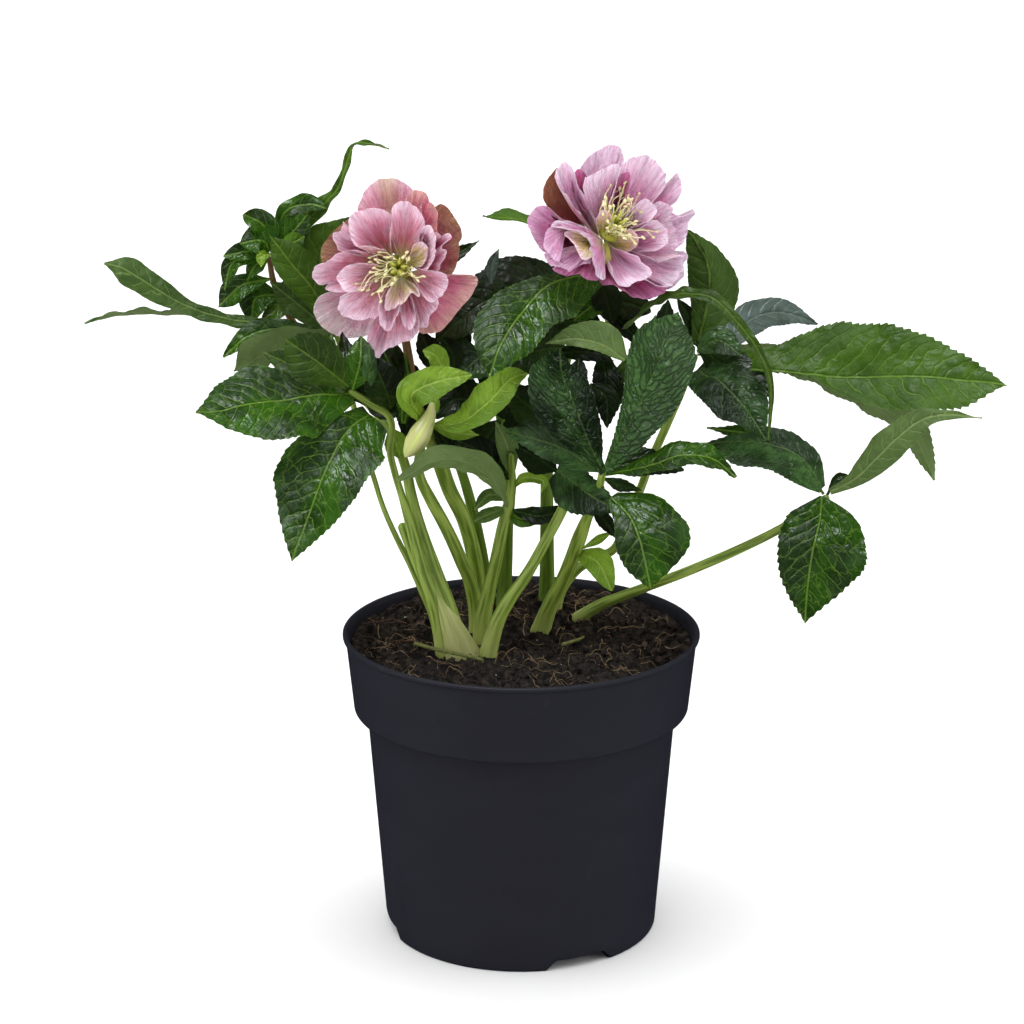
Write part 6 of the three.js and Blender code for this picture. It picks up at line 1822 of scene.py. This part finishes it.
def anther(tip, way, chance):
    """A small two-lobed bag on a filament's tip."""
    side = unit(np.cross(way, (0.3, 0.5, 0.8)))
    front = np.cross(way, side)
    pole = np.linspace(0.05, 0.95, 6) * np.pi
    turn = turns(8)
    size = chance.uniform(0.85, 1.2)
    width = (0.62 + 0.14 * np.cos(2 * turn)) * size
    around = spokes(turn, side, front)
    rings = np.array([tip - way * 1.05 * size * math.cos(p) + around * (width * math.sin(p))[:, None]
                      for p in pole])
    return lofted(rings, rings - tip, skin="anther")


# ---------------------------------------------------------------------------------------------
# Stage

class OBJECT_OT_hellebore_stage(Operator):
    """Make the floor, the lights and the camera"""
    bl_idname = "hellebore.stage"
    bl_label = "Stage"

    def execute(self, context):
        settings = context.scene.hellebore_stage
        add_floor(settings.floor)
        add_sky(settings)
        add_lamps(settings)
        add_camera(context.scene)
        context.scene.view_settings.view_transform = "Standard"
        return {"FINISHED"}


def add_floor(half):
    mesh = bpy.data.meshes.new("floor")
    corners = [(-half, -half, 0), (half, -half, 0), (half, half, 0), (-half, half, 0)]
    mesh.from_pydata(corners, [], [(0, 1, 2, 3)])
    material, s = new_material("floor_white")
    s.finish(FLOOR_COLOUR, 0.9, Specular_IOR_Level=0.0)
    mesh.materials.append(material)
    floor = bpy.data.objects.new("floor", mesh)
    floor.visible_glossy = False
    bpy.context.scene.collection.objects.link(floor)


def add_sky(settings):
    """A soft sky, bright above and dimmer in front, that doesn't veil what is glossy."""
    world = bpy.data.worlds.new("studio_sky")
    world.use_nodes = True
    world.cycles_visibility.glossy = False
    s = Shader(world.node_tree)
    across, deep, up = s.node("ShaderNodeTexCoord", {}, {}, 0).split()
    high = (settings.zenith, settings.zenith, 1.02 * settings.zenith)
    color = s.mix(up.fade(0.0, 0.95), (settings.horizon,) * 3, high)
    color = s.mix(deep.fade(0.5, -0.7) * settings.shade, color, (0.0, 0.0, 0.0))
    color = s.mix(abs(across).fade(0.55, 1.0), color, (settings.sides,) * 3)
    background = s.node("ShaderNodeBackground", {}, {"Color": color, "Strength": 1.0})
    s.node("ShaderNodeOutputWorld", {}, {"Surface": background})
    bpy.context.scene.world = world


def add_lamps(settings):
    """Broad lamps above the front and the back, and a smaller one seen only as highlights."""
    broad = (settings.lamp_angle, LAMP_COLOUR, "visible_glossy")
    small = (settings.sheen_angle, SHEEN_COLOUR, "visible_diffuse")
    lamps = (("lamp", LAMP_WAY, settings.lamp, *broad),
             ("back_lamp", BACK_WAY, BACK_SHARE * settings.lamp, *broad),
             ("sheen_lamp", SHEEN_WAY, settings.sheen, *small))
    for name, way, strength, angle, colour, hidden in lamps:
        data = bpy.data.lights.new(name, "SUN")
        data.energy = strength
        data.angle = angle
        data.color = colour
        lamp = bpy.data.objects.new(name, data)
        lamp.rotation_euler = Vector(way).to_track_quat("Z", "Y").to_euler()
        setattr(lamp, hidden, False)
        bpy.context.scene.collection.objects.link(lamp)


def add_camera(scene):
    data = bpy.data.cameras.new("camera")
    data.lens = CAMERA_LENS
    data.sensor_width = CAMERA_SENSOR
    data.clip_end = CAMERA_REACH
    camera = bpy.data.objects.new("camera", data)
    camera.location = EYE * MM
    camera.rotation_euler = (math.radians(90 - CAMERA_PITCH), 0, 0)
    scene.collection.objects.link(camera)
    scene.camera = camera


# ---------------------------------------------------------------------------------------------
# Add-on

OPERATORS = (
    OBJECT_OT_hellebore_stage,
    OBJECT_OT_hellebore_pot,
    OBJECT_OT_hellebore_soil,
    OBJECT_OT_hellebore_stems,
    OBJECT_OT_hellebore_leaves,
    OBJECT_OT_hellebore_bud,
    OBJECT_OT_hellebore_flowers,
)
SETTINGS = {
    "hellebore_pot": PotSettings,
    "hellebore_soil": SoilSettings,
    "hellebore_stems": StemSettings,
    "hellebore_leaves": LeafSettings,
    "hellebore_flowers": FlowerSettings,
    "hellebore_stage": StageSettings,
}


class VIEW3D_PT_hellebore(Panel):
    """Lists what the plant is made of"""
    bl_idname = "VIEW3D_PT_hellebore"
    bl_label = "Potted hellebore"
    bl_space_type = "VIEW_3D"
    bl_region_type = "UI"
    bl_category = "Hellebore"

    def draw(self, context):
        for operator in OPERATORS:
            self.layout.operator(operator.bl_idname)
        for name, group in SETTINGS.items():
            box = self.layout.box()
            box.label(text=group.__doc__)
            for key in group.__annotations__:
                box.prop(getattr(context.scene, name), key)


def register():
    for name, group in SETTINGS.items():
        bpy.utils.register_class(group)
        setattr(bpy.types.Scene, name, PointerProperty(type=group))
    for operator in OPERATORS:
        bpy.utils.register_class(operator)
    bpy.utils.register_class(VIEW3D_PT_hellebore)


def unregister():
    bpy.utils.unregister_class(VIEW3D_PT_hellebore)
    for operator in reversed(OPERATORS):
        bpy.utils.unregister_class(operator)
    for name, group in SETTINGS.items():
        delattr(bpy.types.Scene, name)
        bpy.utils.unregister_class(group)


def main():
    register()
    for operator in OPERATORS:
        family, name = operator.bl_idname.split(".")
        getattr(getattr(bpy.ops, family), name)()


if __name__ == "__main__":
    main()
